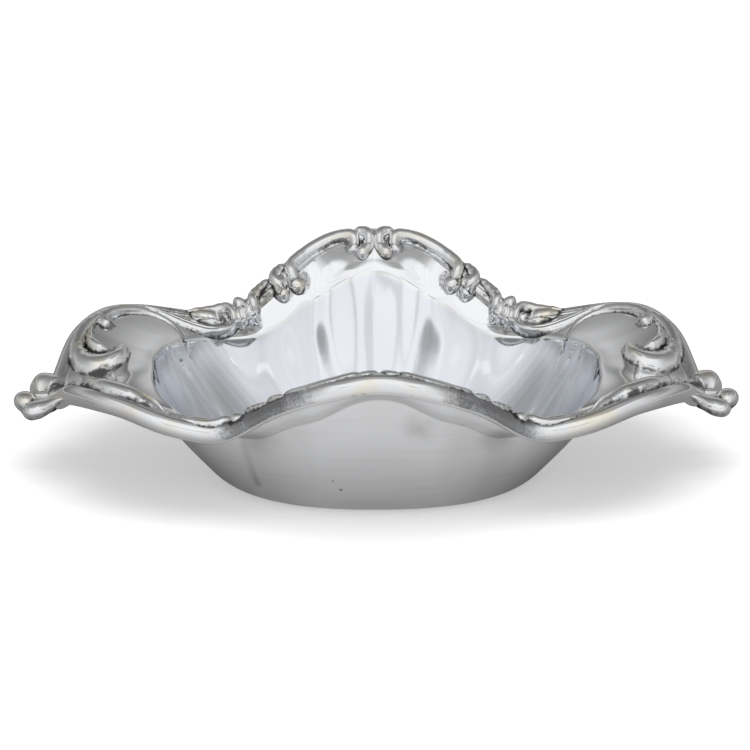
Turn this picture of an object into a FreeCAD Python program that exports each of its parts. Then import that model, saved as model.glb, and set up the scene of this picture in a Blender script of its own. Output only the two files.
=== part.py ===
import FreeCAD, Part
import math
import os
from FreeCAD import Vector

# Bonbon dish: a stamped bowl with a flange, and a cast scroll border applied to its edge.
# Frame: X along the length, Y across the width, Z up, origin at the middle of the flat bottom.

# Driving dimensions, in millimetres
SIZES = [
    ("rim_length", 145.0),
    ("rim_width", 95.2),
    ("crest_height", 38.4),
    ("floor_length", 73.5),
    ("floor_width", 58.2),
    ("floor_corner", 2.7),
    ("sheet_thickness", 0.9),
    ("flange_rise", 1.9),
    ("wire_radius", 2.4),
    ("seat_gap", 0.15),
    ("blend_depth", 1.0),
    ("centre_scroll_width", 2.6),
    ("centre_scroll_rise", 0.8),
    ("centre_volute_width", 2.8),
    ("centre_volute_rise", 1.2),
    ("leaf_scroll_width", 2.6),
    ("leaf_scroll_rise", 1.1),
    ("leaf_clasp_width", 4.4),
    ("leaf_clasp_rise", 1.3),
    ("side_volute_width", 2.0),
    ("side_volute_rise", 1.1),
    ("ear_scroll_width", 1.5),
    ("ear_scroll_rise", 0.9),
    ("end_volute_width", 3.0),
    ("end_volute_rise", 1.2),
    ("palmette_width", 21.0),
    ("tip_lobe_reach", 7.6),
    ("side_lobe_reach", 5.8),
    ("lobe_thickness", 5.8),
    ("lobe_droop", 1.6),
]

# The rim's centre line over one quarter, from the end of the dish to the middle of its side:
# shares of half the rim's length, half its width and the crest's height.
RIM_SHARES = [
    (1.000, 0.000, 0.456),
    (0.994, 0.105, 0.484),
    (0.974, 0.227, 0.557),
    (0.946, 0.359, 0.635),
    (0.903, 0.475, 0.680),
    (0.841, 0.574, 0.698),
    (0.778, 0.626, 0.685),
    (0.716, 0.672, 0.656),
    (0.652, 0.706, 0.622),
    (0.590, 0.723, 0.596),
    (0.502, 0.742, 0.581),
    (0.370, 0.798, 0.701),
    (0.254, 0.920, 0.859),
    (0.167, 0.987, 0.943),
    (0.083, 1.000, 0.987),
    (0.000, 0.996, 1.000),
]

# The shoulder where the flange turns down into the bowl, in the same shares.
SHOULDER_SHARES = [
    (0.699, 0.000, 0.646),
    (0.698, 0.137, 0.641),
    (0.681, 0.263, 0.628),
    (0.658, 0.368, 0.615),
    (0.626, 0.441, 0.594),
    (0.597, 0.504, 0.581),
    (0.552, 0.563, 0.565),
    (0.470, 0.616, 0.539),
    (0.408, 0.641, 0.534),
    (0.359, 0.672, 0.544),
    (0.320, 0.704, 0.578),
    (0.257, 0.756, 0.659),
    (0.179, 0.809, 0.732),
    (0.088, 0.836, 0.836),
    (0.000, 0.851, 0.885),
]

# The scrolls of one quarter. Each runs along a line on the flange, given in shares of half
# the rim's length and width, and swells and thins by the width shares along that line.
SCROLLS = [
    (
        "centre_volute",
        [(0.029, 0.992), (0.021, 0.958), (0.028, 0.924), (0.051, 0.913), (0.064, 0.934)],
        [0.40, 0.68, 0.85, 1.20, 0.60],
    ),
    (
        "centre_scroll",
        [
            (0.070, 0.975), (0.110, 0.972), (0.152, 0.962), (0.196, 0.935),
            (0.235, 0.899), (0.260, 0.868), (0.268, 0.843), (0.256, 0.826),
        ],
        [0.60, 1.00, 1.05, 1.05, 1.00, 0.90, 1.15, 0.75],
    ),
    (
        "leaf_scroll",
        [(0.296, 0.846), (0.303, 0.812), (0.322, 0.790), (0.350, 0.780), (0.374, 0.768)],
        [0.50, 0.90, 1.15, 1.00, 0.50],
    ),
    (
        "leaf_clasp",
        [(0.445, 0.790), (0.433, 0.754), (0.414, 0.716), (0.397, 0.682), (0.392, 0.655)],
        [0.75, 0.90, 1.00, 0.95, 0.45],
    ),
    (
        "side_volute",
        [
            (0.541, 0.704), (0.530, 0.682), (0.511, 0.685), (0.500, 0.706), (0.484, 0.728),
            (0.471, 0.720), (0.463, 0.688), (0.476, 0.650), (0.507, 0.632), (0.548, 0.620),
        ],
        [0.80, 0.95, 0.90, 0.85, 0.95, 1.05, 1.10, 1.10, 0.95, 0.50],
    ),
    (
        "ear_scroll",
        [
            (0.618, 0.519), (0.643, 0.588), (0.676, 0.628), (0.722, 0.628),
            (0.777, 0.588), (0.822, 0.534), (0.846, 0.482), (0.836, 0.440),
        ],
        [0.50, 0.90, 1.00, 1.00, 1.00, 1.00, 1.10, 0.80],
    ),
    (
        "end_volute",
        [
            (0.892, 0.462), (0.921, 0.376), (0.934, 0.297), (0.925, 0.220), (0.900, 0.147),
            (0.862, 0.103), (0.820, 0.105), (0.796, 0.150), (0.806, 0.196),
        ],
        [0.40, 0.75, 0.85, 0.95, 1.00, 1.00, 1.15, 1.35, 0.80],
    ),
]

# A palmette lobe's outline outside the wire: how far out, how high and how far drooped
LOBE_SHARES = [
    (0.25, 0.46, 0.2), (0.60, 0.44, 0.6), (0.90, 0.24, 1.0), (1.00, -0.10, 1.0),
    (0.86, -0.44, 1.0), (0.50, -0.54, 0.8),
]
LOBE_ROOT_SHARE = 0.16
VALLEY_SHARE = 0.62
LOBE_TURNS = 1.5
SEAT_TOP = math.radians(38)
SEAT_BOTTOM = math.radians(-58)

# A scroll is lower over this share of its line at each end
END_SHARE = 0.08
END_RISE_SHARE = 0.25

# The bowl's wall: how it leaves the floor and how it arrives at the shoulder
WALL_REACH_POWER = 0.96
WALL_RISE_POWER = 0.455
SIDE_BULGE = 0.25
FLOOR_ROUNDNESS = 2.2
WALL_LEVEL_SHARES = (0.113, 0.28, 0.46, 0.62, 0.78, 0.90, 1.0)
CORNER_SHARES = (0.0, 0.25, 0.5, 0.75)
SEWING_SHARE = 0.05

# How steeply the bed falls away beside the wire
BESIDE_SLOPE = 4.0

QUARTER = math.pi / 2
FULL_TURN = 2 * math.pi
RING_POINTS = 96
ROLL_STATIONS = 40
PALMETTE_STATIONS = 25
STATIONS_PER_POINT = 4
SEAT_STEPS = 6
WIRE_POINTS = 16
PROFILE_POINTS = 13

doc = FreeCAD.newDocument("bonbon_dish")
sheet = doc.addObject("Spreadsheet::Sheet", "dish")
for row, (alias, size) in enumerate(SIZES, start=1):
    sheet.set("A%d" % row, alias)
    sheet.set("B%d" % row, "%g" % size)
    sheet.setAlias("B%d" % row, alias)
doc.recompute()


def size(alias):
    """One driving dimension, read from the sheet."""
    return float(sheet.get(alias))


half_length = size("rim_length") / 2
half_width = size("rim_width") / 2
crest_height = size("crest_height")
sheet_thickness = size("sheet_thickness")
wire_radius = size("wire_radius")
seat_gap = size("seat_gap")
blend_depth = size("blend_depth")
flange_rise = size("flange_rise")


# Curves round the dish

def ring_curve(shares):
    """A closed smooth curve over the angle round the dish: radius in x, height in y."""
    angles = []
    points = []
    for turn in range(4):
        quarter = shares if turn % 2 == 0 else shares[::-1]
        for along, across, up in quarter[:-1]:
            angle = math.atan2(across * half_width, along * half_length)
            if turn % 2:
                angle = math.pi - angle
            angles.append(angle + (turn // 2) * math.pi)
            radius = math.hypot(along * half_length, across * half_width)
            points.append(Vector(radius, up * crest_height, 0))
    curve = Part.BSplineCurve()
    curve.interpolate(Points=points, Parameters=angles + [FULL_TURN], PeriodicFlag=True)
    return curve


rim_curve = ring_curve(RIM_SHARES)
shoulder_curve = ring_curve(SHOULDER_SHARES)


def rim_at(angle):
    """The rim's centre line at an angle: its radius and height."""
    spot = rim_curve.value(angle % FULL_TURN)
    return spot.x, spot.y


def shoulder_at(angle):
    """The shoulder's line at an angle: its radius and height."""
    spot = shoulder_curve.value(angle % FULL_TURN)
    return spot.x, spot.y


def polar(radius, angle, height):
    return Vector(radius * math.cos(angle), radius * math.sin(angle), height)


def closed_curve(points):
    """A closed smooth edge through points round the dish."""
    curve = Part.BSplineCurve()
    curve.interpolate(Points=points, PeriodicFlag=True)
    return curve


def ring_angles(count):
    return [FULL_TURN * step / count for step in range(count)]


rim_plan = closed_curve([polar(rim_at(a)[0], a, 0) for a in ring_angles(2 * RING_POINTS)])


def rim_inward(angle):
    """The direction in plan that points from the rim's line into the dish, square to it."""
    spot, along = rim_plan.getD1(rim_plan.parameter(polar(rim_at(angle)[0], angle, 0)))
    inward = Vector(-along.y, along.x, 0)
    return inward.normalize()


# Heights of what the ornament lies on

def flange_height(x, y):
    """The flange's top: straight from the shoulder out to just above the rim's centre line."""
    angle = math.atan2(y, x)
    rim_radius, rim_height = rim_at(angle)
    shoulder_radius, shoulder_height = shoulder_at(angle)
    share = (rim_radius - math.hypot(x, y)) / (rim_radius - shoulder_radius)
    outer_height = rim_height + flange_rise
    return outer_height + (shoulder_height - outer_height) * share


def wire_height(x, y):
    """The top of the round edge wire under a point, and a steep fall beside it."""
    here = Vector(x, y, 0)
    nearest = rim_plan.value(rim_plan.parameter(here))
    away = here.distanceToPoint(nearest)
    rim_height = rim_at(math.atan2(nearest.y, nearest.x))[1]
    beside = max(away - wire_radius, 0)
    within = min(away, wire_radius)
    return rim_height + math.sqrt(wire_radius ** 2 - within ** 2) - beside * BESIDE_SLOPE


def bed_height(x, y):
    """The bed of the ornament: the higher of flange and wire, with the corner filled."""
    flange = flange_height(x, y)
    wire = wire_height(x, y)
    closeness = max(blend_depth - abs(flange - wire), 0) / blend_depth
    return max(flange, wire) + closeness ** 2 * blend_depth / 4


# The bowl

def floor_radius(angle, margin):
    """The floor's rounded outline, drawn in by a margin."""
    along = abs(math.cos(angle)) / (size("floor_length") / 2 - margin)
    across = abs(math.sin(angle)) / (size("floor_width") / 2 - margin)
    return (along ** FLOOR_ROUNDNESS + across ** FLOOR_ROUNDNESS) ** (-1 / FLOOR_ROUNDNESS)


def wall_point(angle, level, inside):
    """A point of the wall's section, its radius and height, on the inner or outer face."""
    margin = sheet_thickness if inside else 0
    start = floor_radius(angle, margin)
    top_radius, top_height = shoulder_at(angle)
    top_height = top_height - (sheet_thickness - margin)
    reach = math.sin(level * QUARTER) ** WALL_REACH_POWER
    rise = (1 - math.cos(level * QUARTER)) ** WALL_RISE_POWER
    bulge = SIDE_BULGE + (1 - SIDE_BULGE) * math.cos(angle) ** 2
    reach = rise + (reach - rise) * bulge
    return start + (top_radius - start) * reach, margin + (top_height - margin) * rise


def wall_ring(level, inside):
    """A level line of the wall above its rounded bottom corner."""
    points = []
    for angle in ring_angles(RING_POINTS):
        radius, height = wall_point(angle, level, inside)
        points.append(polar(radius, angle, height))
    return Part.Wire(closed_curve(points).toShape())


def corner_ring(place, inside):
    """A line of the rounded corner, a parabola from the flat floor up to the wall."""
    points = []
    for angle in ring_angles(RING_POINTS):
        corner_radius, floor_height = wall_point(angle, 0, inside)
        wall_radius, wall_height = wall_point(angle, WALL_LEVEL_SHARES[0], inside)
        floor_share = (1 - place) ** 2
        wall_share = place ** 2
        radius = corner_radius - size("floor_corner") * floor_share
        radius = radius + (wall_radius - corner_radius) * wall_share
        height = floor_height + (wall_height - floor_height) * wall_share
        points.append(polar(radius, angle, height))
    return Part.Wire(closed_curve(points).toShape())


def wall_rings(inside):
    """The wall's lines from the flat floor to the shoulder."""
    corner = [corner_ring(place, inside) for place in CORNER_SHARES]
    return corner + [wall_ring(level, inside) for level in WALL_LEVEL_SHARES]


def flange_edge(drop):
    """The flange's outer edge, beside the wire, on its top or its underside."""
    points = []
    for angle in ring_angles(RING_POINTS):
        inset = rim_inward(angle) * (wire_radius + seat_gap)
        spot = polar(rim_at(angle)[0], angle, 0) + inset
        spot.z = flange_height(spot.x, spot.y) - drop
        points.append(spot)
    return Part.Wire(closed_curve(points).toShape())


def make_bowl():
    """The stamped bowl: floor, wall and flange of one thickness, closed into a solid."""
    outer_wall = wall_rings(False)
    inner_wall = wall_rings(True)
    top_edge = flange_edge(0)
    under_edge = flange_edge(sheet_thickness)
    skins = [
        Part.makeLoft(outer_wall, False, False),
        Part.makeLoft([outer_wall[-1], under_edge], False, True),
        Part.makeLoft([under_edge, top_edge], False, True),
        Part.makeLoft([top_edge, inner_wall[-1]], False, True),
        Part.makeLoft(inner_wall, False, False),
        Part.Face(outer_wall[0]),
        Part.Face(inner_wall[0]),
    ]
    faces = [face for skin in skins for face in skin.Faces]
    shell = Part.Shape(Part.Compound(faces))
    shell.sewShape(sheet_thickness * SEWING_SHARE)
    solid = Part.Solid(shell.Shells[0])
    if solid.Volume < 0:
        solid.reverse()
    return solid


# The edge wire

def make_rim_roll():
    """A quarter of the round edge wire, from the end of the dish to the middle of its side."""
    margin = seat_gap / 2
    start = math.atan2(margin, half_length)
    stop = math.atan2(half_width, margin)
    rings = []
    for station in range(ROLL_STATIONS):
        angle = start + (stop - start) * station / (ROLL_STATIONS - 1)
        radius, height = rim_at(angle)
        outward = rim_inward(angle) * -1
        points = []
        for turn in ring_angles(WIRE_POINTS):
            side = outward * (wire_radius * math.sin(turn))
            up = height + wire_radius * math.cos(turn)
            points.append(polar(radius, angle, up) + side)
        rings.append(Part.Wire(closed_curve(points).toShape()))
    return Part.makeLoft(rings, True, False)


# The scrolls

def smooth_value(shares, place):
    """A value between the shares of a list, eased from each one to the next."""
    spot = place * (len(shares) - 1)
    index = min(int(spot), len(shares) - 2)
    ease = (1 - math.cos((spot - index) * math.pi)) / 2
    return shares[index] + (shares[index + 1] - shares[index]) * ease


def section_wire(spot, sideways, half, rise):
    """A low arch over the bed: its flat side follows the bed, its back is half an ellipse."""
    crown = []
    base = []
    for step in range(PROFILE_POINTS):
        turn = math.pi * step / (PROFILE_POINTS - 1)
        place = spot + sideways * (half * math.cos(turn))
        ground = bed_height(place.x, place.y) + seat_gap
        crown.append(Vector(place.x, place.y, ground + rise * math.sin(turn)))
        base.append(Vector(place.x, place.y, ground))
    edges = []
    for points in (crown, base[::-1]):
        curve = Part.BSplineCurve()
        curve.interpolate(Points=points)
        edges.append(curve.toShape())
    return Part.Wire(edges)


def make_scroll(name, line_shares, width_shares):
    """A scroll: the arch carried along its line on the bed, swelling and thinning."""
    width = size(name + "_width")
    rise = size(name + "_rise")
    line = Part.BSplineCurve()
    line.interpolate(Points=[Vector(a * half_length, b * half_width, 0) for a, b in line_shares])
    count = STATIONS_PER_POINT * (len(line_shares) - 1) + 1
    wires = []
    for station in range(count):
        place = station / (count - 1)
        reach = line.FirstParameter + (line.LastParameter - line.FirstParameter) * place
        spot, along = line.getD1(reach)
        sideways = Vector(-along.y, along.x, 0).normalize()
        share = smooth_value(width_shares, place)
        nearness = min(place, 1 - place, END_SHARE) / END_SHARE
        low_end = math.sqrt(END_RISE_SHARE + (1 - END_RISE_SHARE) * math.sin(nearness * QUARTER))
        wires.append(section_wire(spot, sideways, width / 2 * share, rise * share * low_end))
    return Part.makeLoft(wires, True, False)


def add_piece(label, shape):
    piece = doc.addObject("Part::Feature", label)
    piece.Label = label
    piece.Shape = shape
    return piece


def add_mirror(source, label, normal):
    """The same piece on the other side of the dish."""
    mirror = doc.addObject("Part::Mirroring", label)
    mirror.Label = label
    mirror.Source = source
    mirror.Base = Vector(0, 0, 0)
    mirror.Normal = normal
    return mirror


def add_quarters(name, shape):
    """One piece of the border and its three reflections."""
    back_right = add_piece(name + "_back_right", shape)
    back_left = add_mirror(back_right, name + "_back_left", Vector(1, 0, 0))
    front_right = add_mirror(back_right, name + "_front_right", Vector(0, 1, 0))
    front_left = add_mirror(back_left, name + "_front_left", Vector(0, 1, 0))
    return [back_right, back_left, front_right, front_left]


# The palmettes at the two ends

def lobe_section(angle, across):
    """A palmette's section: hollow against the edge wire, and a full lobe outside it."""
    radius, height = rim_at(angle)
    outward = rim_inward(angle) * -1
    centre = polar(radius, angle, height)
    fullness = math.cos(LOBE_TURNS * math.pi * across) ** 2
    outermost = min(abs(across) * LOBE_TURNS, 1)
    peak = size("tip_lobe_reach") + (size("side_lobe_reach") - size("tip_lobe_reach")) * outermost
    reach = peak * (VALLEY_SHARE + (1 - VALLEY_SHARE) * fullness)
    thickness = size("lobe_thickness") * (VALLEY_SHARE + (1 - VALLEY_SHARE) * fullness)
    droop = size("lobe_droop")
    seat = wire_radius + seat_gap
    sweep = (SEAT_BOTTOM - SEAT_TOP) / SEAT_STEPS
    seat_turns = [SEAT_TOP + sweep * step for step in range(SEAT_STEPS + 1)]
    hollow = [(seat * math.cos(turn), seat * math.sin(turn)) for turn in seat_turns]
    outside = [hollow[0]]
    for reach_share, rise_share, droop_share in LOBE_SHARES:
        outside.append((
            wire_radius + reach * reach_share,
            thickness * rise_share - droop * droop_share,
        ))
    outside.append((wire_radius + reach * LOBE_ROOT_SHARE, -seat - droop * LOBE_ROOT_SHARE * 2))
    outside.append(hollow[-1])
    edges = []
    for outline in (outside, hollow[::-1]):
        points = [centre + outward * away + Vector(0, 0, up) for away, up in outline]
        curve = Part.BSplineCurve()
        curve.interpolate(Points=points)
        edges.append(curve.toShape())
    return Part.Wire(edges)


def make_palmette():
    """Three lobes side by side, one casting, seated against the end of the edge wire."""
    wires = []
    for station in range(PALMETTE_STATIONS):
        across = 2 * station / (PALMETTE_STATIONS - 1) - 1
        angle = math.atan2(across * size("palmette_width") / 2, half_length)
        wires.append(lobe_section(angle, across))
    return Part.makeLoft(wires, True, False)


# All the pieces

pieces = [add_piece("bowl", make_bowl())]
pieces += add_quarters("rim_roll", make_rim_roll())
for scroll_name, scroll_line_shares, scroll_width_shares in SCROLLS:
    scroll = make_scroll(scroll_name, scroll_line_shares, scroll_width_shares)
    pieces += add_quarters(scroll_name, scroll)
palmette_right = add_piece("palmette_right", make_palmette())
pieces.append(palmette_right)
pieces.append(add_mirror(palmette_right, "palmette_left", Vector(1, 0, 0)))
doc.recompute()

for item in doc.Objects:
    if "Invalid" in item.State or "Error" in item.State:
        raise RuntimeError("%s did not compute: %s" % (item.Label, item.State))
for piece in pieces:
    shape = piece.Shape
    if shape.isNull() or not shape.isValid() or len(shape.Solids) != 1:
        raise RuntimeError("%s is not one sound solid" % piece.Label)
    if shape.Volume <= 0:
        raise RuntimeError("%s is inside out" % piece.Label)

os.makedirs("parts", exist_ok=True)
for piece in pieces:
    piece.Shape.exportStep("parts/%s.step" % piece.Label)
    box = piece.Shape.BoundBox
    print("%-26s %8.1f mm3  x %6.1f %6.1f  y %6.1f %6.1f  z %5.1f %5.1f" % (
        piece.Label, piece.Shape.Volume, box.XMin, box.XMax, box.YMin, box.YMax, box.ZMin, box.ZMax))
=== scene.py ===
# %% [markdown]
# # A silver bonbon dish
# The dish is a stamped bowl with a wide flange, and a cast scroll border that is soldered round
# the flange's edge. It is made here as separate pieces, each with the name of the part that it
# stands for: the bowl, four quarters of the edge roll, the scrolls that lie over flange and
# roll, and a palmette at each end. All lengths are in millimetres until a mesh is written.

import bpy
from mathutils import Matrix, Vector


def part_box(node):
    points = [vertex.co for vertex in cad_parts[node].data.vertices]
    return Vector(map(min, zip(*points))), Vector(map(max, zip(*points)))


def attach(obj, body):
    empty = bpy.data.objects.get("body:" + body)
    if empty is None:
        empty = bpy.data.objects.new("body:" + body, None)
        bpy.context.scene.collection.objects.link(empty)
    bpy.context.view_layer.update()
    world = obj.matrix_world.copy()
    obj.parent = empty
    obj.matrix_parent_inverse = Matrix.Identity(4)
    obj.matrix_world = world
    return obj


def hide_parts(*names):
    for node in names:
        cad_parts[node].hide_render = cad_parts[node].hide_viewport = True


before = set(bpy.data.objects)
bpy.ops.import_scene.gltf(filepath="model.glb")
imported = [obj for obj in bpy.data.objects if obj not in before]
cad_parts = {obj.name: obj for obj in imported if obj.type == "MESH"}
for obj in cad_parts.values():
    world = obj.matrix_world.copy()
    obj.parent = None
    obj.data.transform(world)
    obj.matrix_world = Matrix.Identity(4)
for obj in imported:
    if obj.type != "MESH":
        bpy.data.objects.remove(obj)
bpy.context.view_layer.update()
print("nodes in the frame:", len(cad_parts))

# %% Driving dimensions
import math

import bmesh
import bpy
import mathutils
import numpy as np

MM = 0.001
TURN = 2 * np.pi
QUARTER = np.pi / 2

HALF_LENGTH = 72.5
HALF_WIDTH = 47.6
CREST_HEIGHT = 38.4
WIRE_RADIUS = 2.4
FLANGE_RISE = 1.9
FILLET_RADIUS = 1.1
SHEET = 0.9

roll_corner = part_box("rim_roll_back_right")[1]
print("the edge roll reaches", [round(v / MM, 2) for v in roll_corner], "mm in the frame")
print("and here", [HALF_LENGTH + WIRE_RADIUS, HALF_WIDTH + WIRE_RADIUS, CREST_HEIGHT + WIRE_RADIUS])

# %% [markdown]
# ## The two lines that the dish is drawn on
# Seen from above, the rim and the shoulder are wavy closed lines, and both rise and fall. Each
# is given over one quarter only, as shares of half the length, half the width and the height
# of the crest, and the other three quarters are its reflections. A closed cubic spline over
# the angle round the dish joins the places without a kink, also where the quarters meet.

# %% The rim's and the shoulder's places
RIM_SHARES = np.array([
    (1.000, 0.000, 0.456), (0.994, 0.105, 0.484), (0.974, 0.227, 0.557), (0.946, 0.359, 0.635),
    (0.903, 0.475, 0.680), (0.841, 0.574, 0.698), (0.778, 0.626, 0.685), (0.716, 0.672, 0.656),
    (0.652, 0.706, 0.622), (0.590, 0.723, 0.596), (0.502, 0.742, 0.581), (0.370, 0.798, 0.701),
    (0.254, 0.920, 0.859), (0.167, 0.987, 0.943), (0.083, 1.000, 0.987), (0.000, 0.996, 1.000),
])
SHOULDER_SHARES = np.array([
    (0.699, 0.000, 0.646), (0.698, 0.137, 0.641), (0.681, 0.263, 0.628), (0.658, 0.368, 0.615),
    (0.626, 0.441, 0.594), (0.597, 0.504, 0.581), (0.552, 0.563, 0.565), (0.470, 0.616, 0.539),
    (0.408, 0.641, 0.534), (0.359, 0.672, 0.544), (0.320, 0.704, 0.578), (0.257, 0.756, 0.659),
    (0.179, 0.809, 0.732), (0.088, 0.836, 0.836), (0.000, 0.851, 0.885),
])


# %% Splines
def cubic_between(places, values, bends, spots, gaps):
    """Value and slope at the spots of the cubic pieces that join values at places.

    Each piece is the straight line between its two values, plus for each end a third of a
    cube of the distance from the other end, weighted by the bend there."""
    index = np.clip(np.searchsorted(places, spots, side="right") - 1, 0, len(gaps) - 1)
    after = (index + 1) % len(values)
    gap = gaps[index][:, None]
    share = (spots - places[index])[:, None] / gap
    rest = 1 - share
    value = rest * values[index] + share * values[after]
    value = value + (rest ** 3 - rest) * bends[index] * gap ** 2 / 6
    value = value + (share ** 3 - share) * bends[after] * gap ** 2 / 6
    slope = (values[after] - values[index]) / gap
    slope = slope - (3 * rest ** 2 - 1) * bends[index] * gap / 6
    slope = slope + (3 * share ** 2 - 1) * bends[after] * gap / 6
    return value, slope


def closed_spline(places, values):
    """A spline round a full turn, whose slope and bend also run on from last to first."""
    gaps = np.diff(np.append(places, places[0] + TURN))
    here = np.arange(len(places))
    matrix = np.zeros((len(places), len(places)))
    matrix[here, here] = 2 * (gaps + np.roll(gaps, 1))
    matrix[here, (here + 1) % len(places)] = gaps
    matrix[here, here - 1] = np.roll(gaps, 1)
    slopes = (np.roll(values, -1, axis=0) - values) / gaps[:, None]
    bends = np.linalg.solve(matrix, 6 * (slopes - np.roll(slopes, 1, axis=0)))
    return lambda spots: cubic_between(places, values, bends, spots % TURN, gaps)


def open_spline(values):
    """A spline through points from 0 at the first to 1 at the last, straight at its ends.

    The places of the points are the shares of the length of the line through them."""
    steps = np.linalg.norm(np.diff(values[:, :2], axis=0), axis=1)
    places = np.append(0, np.cumsum(steps)) / steps.sum()
    gaps = np.diff(places)
    inner = np.arange(1, len(places) - 1)
    matrix = np.eye(len(places))
    matrix[inner, inner] = 2 * (gaps[1:] + gaps[:-1])
    matrix[inner, inner + 1] = gaps[1:]
    matrix[inner, inner - 1] = gaps[:-1]
    slopes = np.diff(values, axis=0) / gaps[:, None]
    right = np.zeros_like(values)
    right[1:-1] = 6 * np.diff(slopes, axis=0)
    bends = np.linalg.solve(matrix, right)
    return lambda spots: cubic_between(places, values, bends, spots, gaps)


# %% Lines round the dish
def ring_spline(shares):
    """Radius and height over the angle round the dish, from one quarter's shares."""
    along = shares[:-1, 0] * HALF_LENGTH
    across = shares[:-1, 1] * HALF_WIDTH
    angle = np.arctan2(across, along)
    values = np.stack([np.hypot(along, across), shares[:-1, 2] * CREST_HEIGHT], axis=1)
    middle = np.array([[shares[-1, 1] * HALF_WIDTH, shares[-1, 2] * CREST_HEIGHT]])
    angles = np.concatenate([angle, [QUARTER], np.pi - angle[:0:-1]])
    half = np.concatenate([values, middle, values[:0:-1]])
    return closed_spline(np.concatenate([angles, angles + np.pi]), np.concatenate([half, half]))


rim_ring = ring_spline(RIM_SHARES)
shoulder_ring = ring_spline(SHOULDER_SHARES)


def rim_line(angle):
    """The rim's centre line: place in plan, slope of that place over the angle, and height."""
    value, slope = rim_ring(angle)
    radius = value[:, 0]
    x = radius * np.cos(angle)
    y = radius * np.sin(angle)
    slope_x = slope[:, 0] * np.cos(angle) - y
    slope_y = slope[:, 0] * np.sin(angle) + x
    return x, y, slope_x, slope_y, value[:, 1]


RIM_STEPS = 14
RIM_PACE = 0.9


def nearest_rim(x, y):
    """The angle of the rim's point that a plan point lies square to.

    It starts at the point's own angle and steps along the rim by most of the remaining offset
    that runs along it, until next to none is left."""
    angle = np.arctan2(y, x)
    for _ in range(RIM_STEPS):
        rim_x, rim_y, slope_x, slope_y, _ = rim_line(angle)
        along = (x - rim_x) * slope_x + (y - rim_y) * slope_y
        angle = angle + RIM_PACE * along / (slope_x ** 2 + slope_y ** 2)
    return angle


def flange_height(x, y):
    """The flange's top: straight from the shoulder out to just above the rim's centre line."""
    angle = np.arctan2(y, x)
    rim = rim_ring(angle)[0]
    shoulder = shoulder_ring(angle)[0]
    share = (rim[:, 0] - np.hypot(x, y)) / (rim[:, 0] - shoulder[:, 0])
    outer = rim[:, 1] + FLANGE_RISE
    return outer + (shoulder[:, 1] - outer) * share


print("crest at", round(float(rim_ring(np.array([QUARTER]))[0][0, 1]), 2), "mm")

# %% [markdown]
# ## The border's section
# Cut square across the rim, the border is a round roll that stands a little proud of the
# flange, with a small hollow fillet between the two. The fillet is a circle that touches the
# flange's line and the roll's circle, so its centre lies at the fillet's radius above the line
# and at both radii together from the roll's centre. That one section serves twice: the roll's
# surface is made from it, and the scrolls are laid on it.

# %% The section round the rim
SECTION_REACH = 3.0
LEAST_SQUARE = 0.01


def border_section(angle):
    """What the border's section needs at angles round the rim, in the section's own plane.

    There `inside` counts from the roll's centre towards the dish and `up` is height."""
    x, y, slope_x, slope_y, height = rim_line(angle)
    size = np.hypot(slope_x, slope_y)
    inward = np.stack([-slope_y / size, slope_x / size], axis=1)
    far = flange_height(x + inward[:, 0] * SECTION_REACH, y + inward[:, 1] * SECTION_REACH)
    tilt = (far - height - FLANGE_RISE) / SECTION_REACH
    run = np.sqrt(1 + tilt ** 2)
    clear = FLANGE_RISE / run
    both = WIRE_RADIUS + FILLET_RADIUS
    along = np.sqrt(np.maximum(both ** 2 - (clear + FILLET_RADIUS) ** 2, LEAST_SQUARE))
    lift = clear + FILLET_RADIUS
    centre_in = (along - tilt * lift) / run
    centre_up = (tilt * along + lift) / run
    return {
        "x": x, "y": y, "height": height, "inward": inward, "tilt": tilt,
        "fillet_in": centre_in, "fillet_up": centre_up,
        "roll_end": centre_in * WIRE_RADIUS / both,
        "flange_start": (along - tilt * clear) / run,
    }


# %% The bed that the scrolls lie on
WRAP_LIMIT = 2.6
NARROWEST_FILLET = 0.05
BED_STEP = 0.2


def bed_point(x, y, lift=None):
    """The point of the border's top that lies over a plan point, moved out square to it.

    Inside the crest the plan point is simply lifted to the flange, the fillet or the roll.
    Outside the crest its distance from the crest is measured round the roll instead, so that
    a scroll can wrap over the edge."""
    angle = nearest_rim(x, y)
    cut = border_section(angle)
    inside = (x - cut["x"]) * cut["inward"][:, 0] + (y - cut["y"]) * cut["inward"][:, 1]
    line = FLANGE_RISE + cut["tilt"] * inside
    exact = flange_height(x, y) - cut["height"]
    within = np.clip(inside, 0, WIRE_RADIUS)
    roll = np.sqrt(WIRE_RADIUS ** 2 - within ** 2)
    beyond = np.clip(inside - cut["fillet_in"], -FILLET_RADIUS, FILLET_RADIUS)
    fillet = cut["fillet_up"] - np.sqrt(FILLET_RADIUS ** 2 - beyond ** 2)
    span = np.maximum(cut["flange_start"] - cut["roll_end"], NARROWEST_FILLET)
    share = np.clip((inside - cut["roll_end"]) / span, 0, 1)
    up = np.where(inside < cut["roll_end"], roll, np.where(share < 1, fillet, line))
    up = up + (exact - line) * share
    turn = np.clip(-inside / WIRE_RADIUS, 0, WRAP_LIMIT)
    out = np.where(inside < 0, WIRE_RADIUS * np.sin(turn), 0.0)
    up = np.where(inside < 0, WIRE_RADIUS * np.cos(turn), up)
    px = np.where(inside < 0, cut["x"] - cut["inward"][:, 0] * out, x)
    py = np.where(inside < 0, cut["y"] - cut["inward"][:, 1] * out, y)
    point = np.stack([px, py, cut["height"] + up], axis=1)
    if lift is None:
        return point
    return point + bed_normal(x, y) * np.reshape(lift, (-1, 1))


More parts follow.
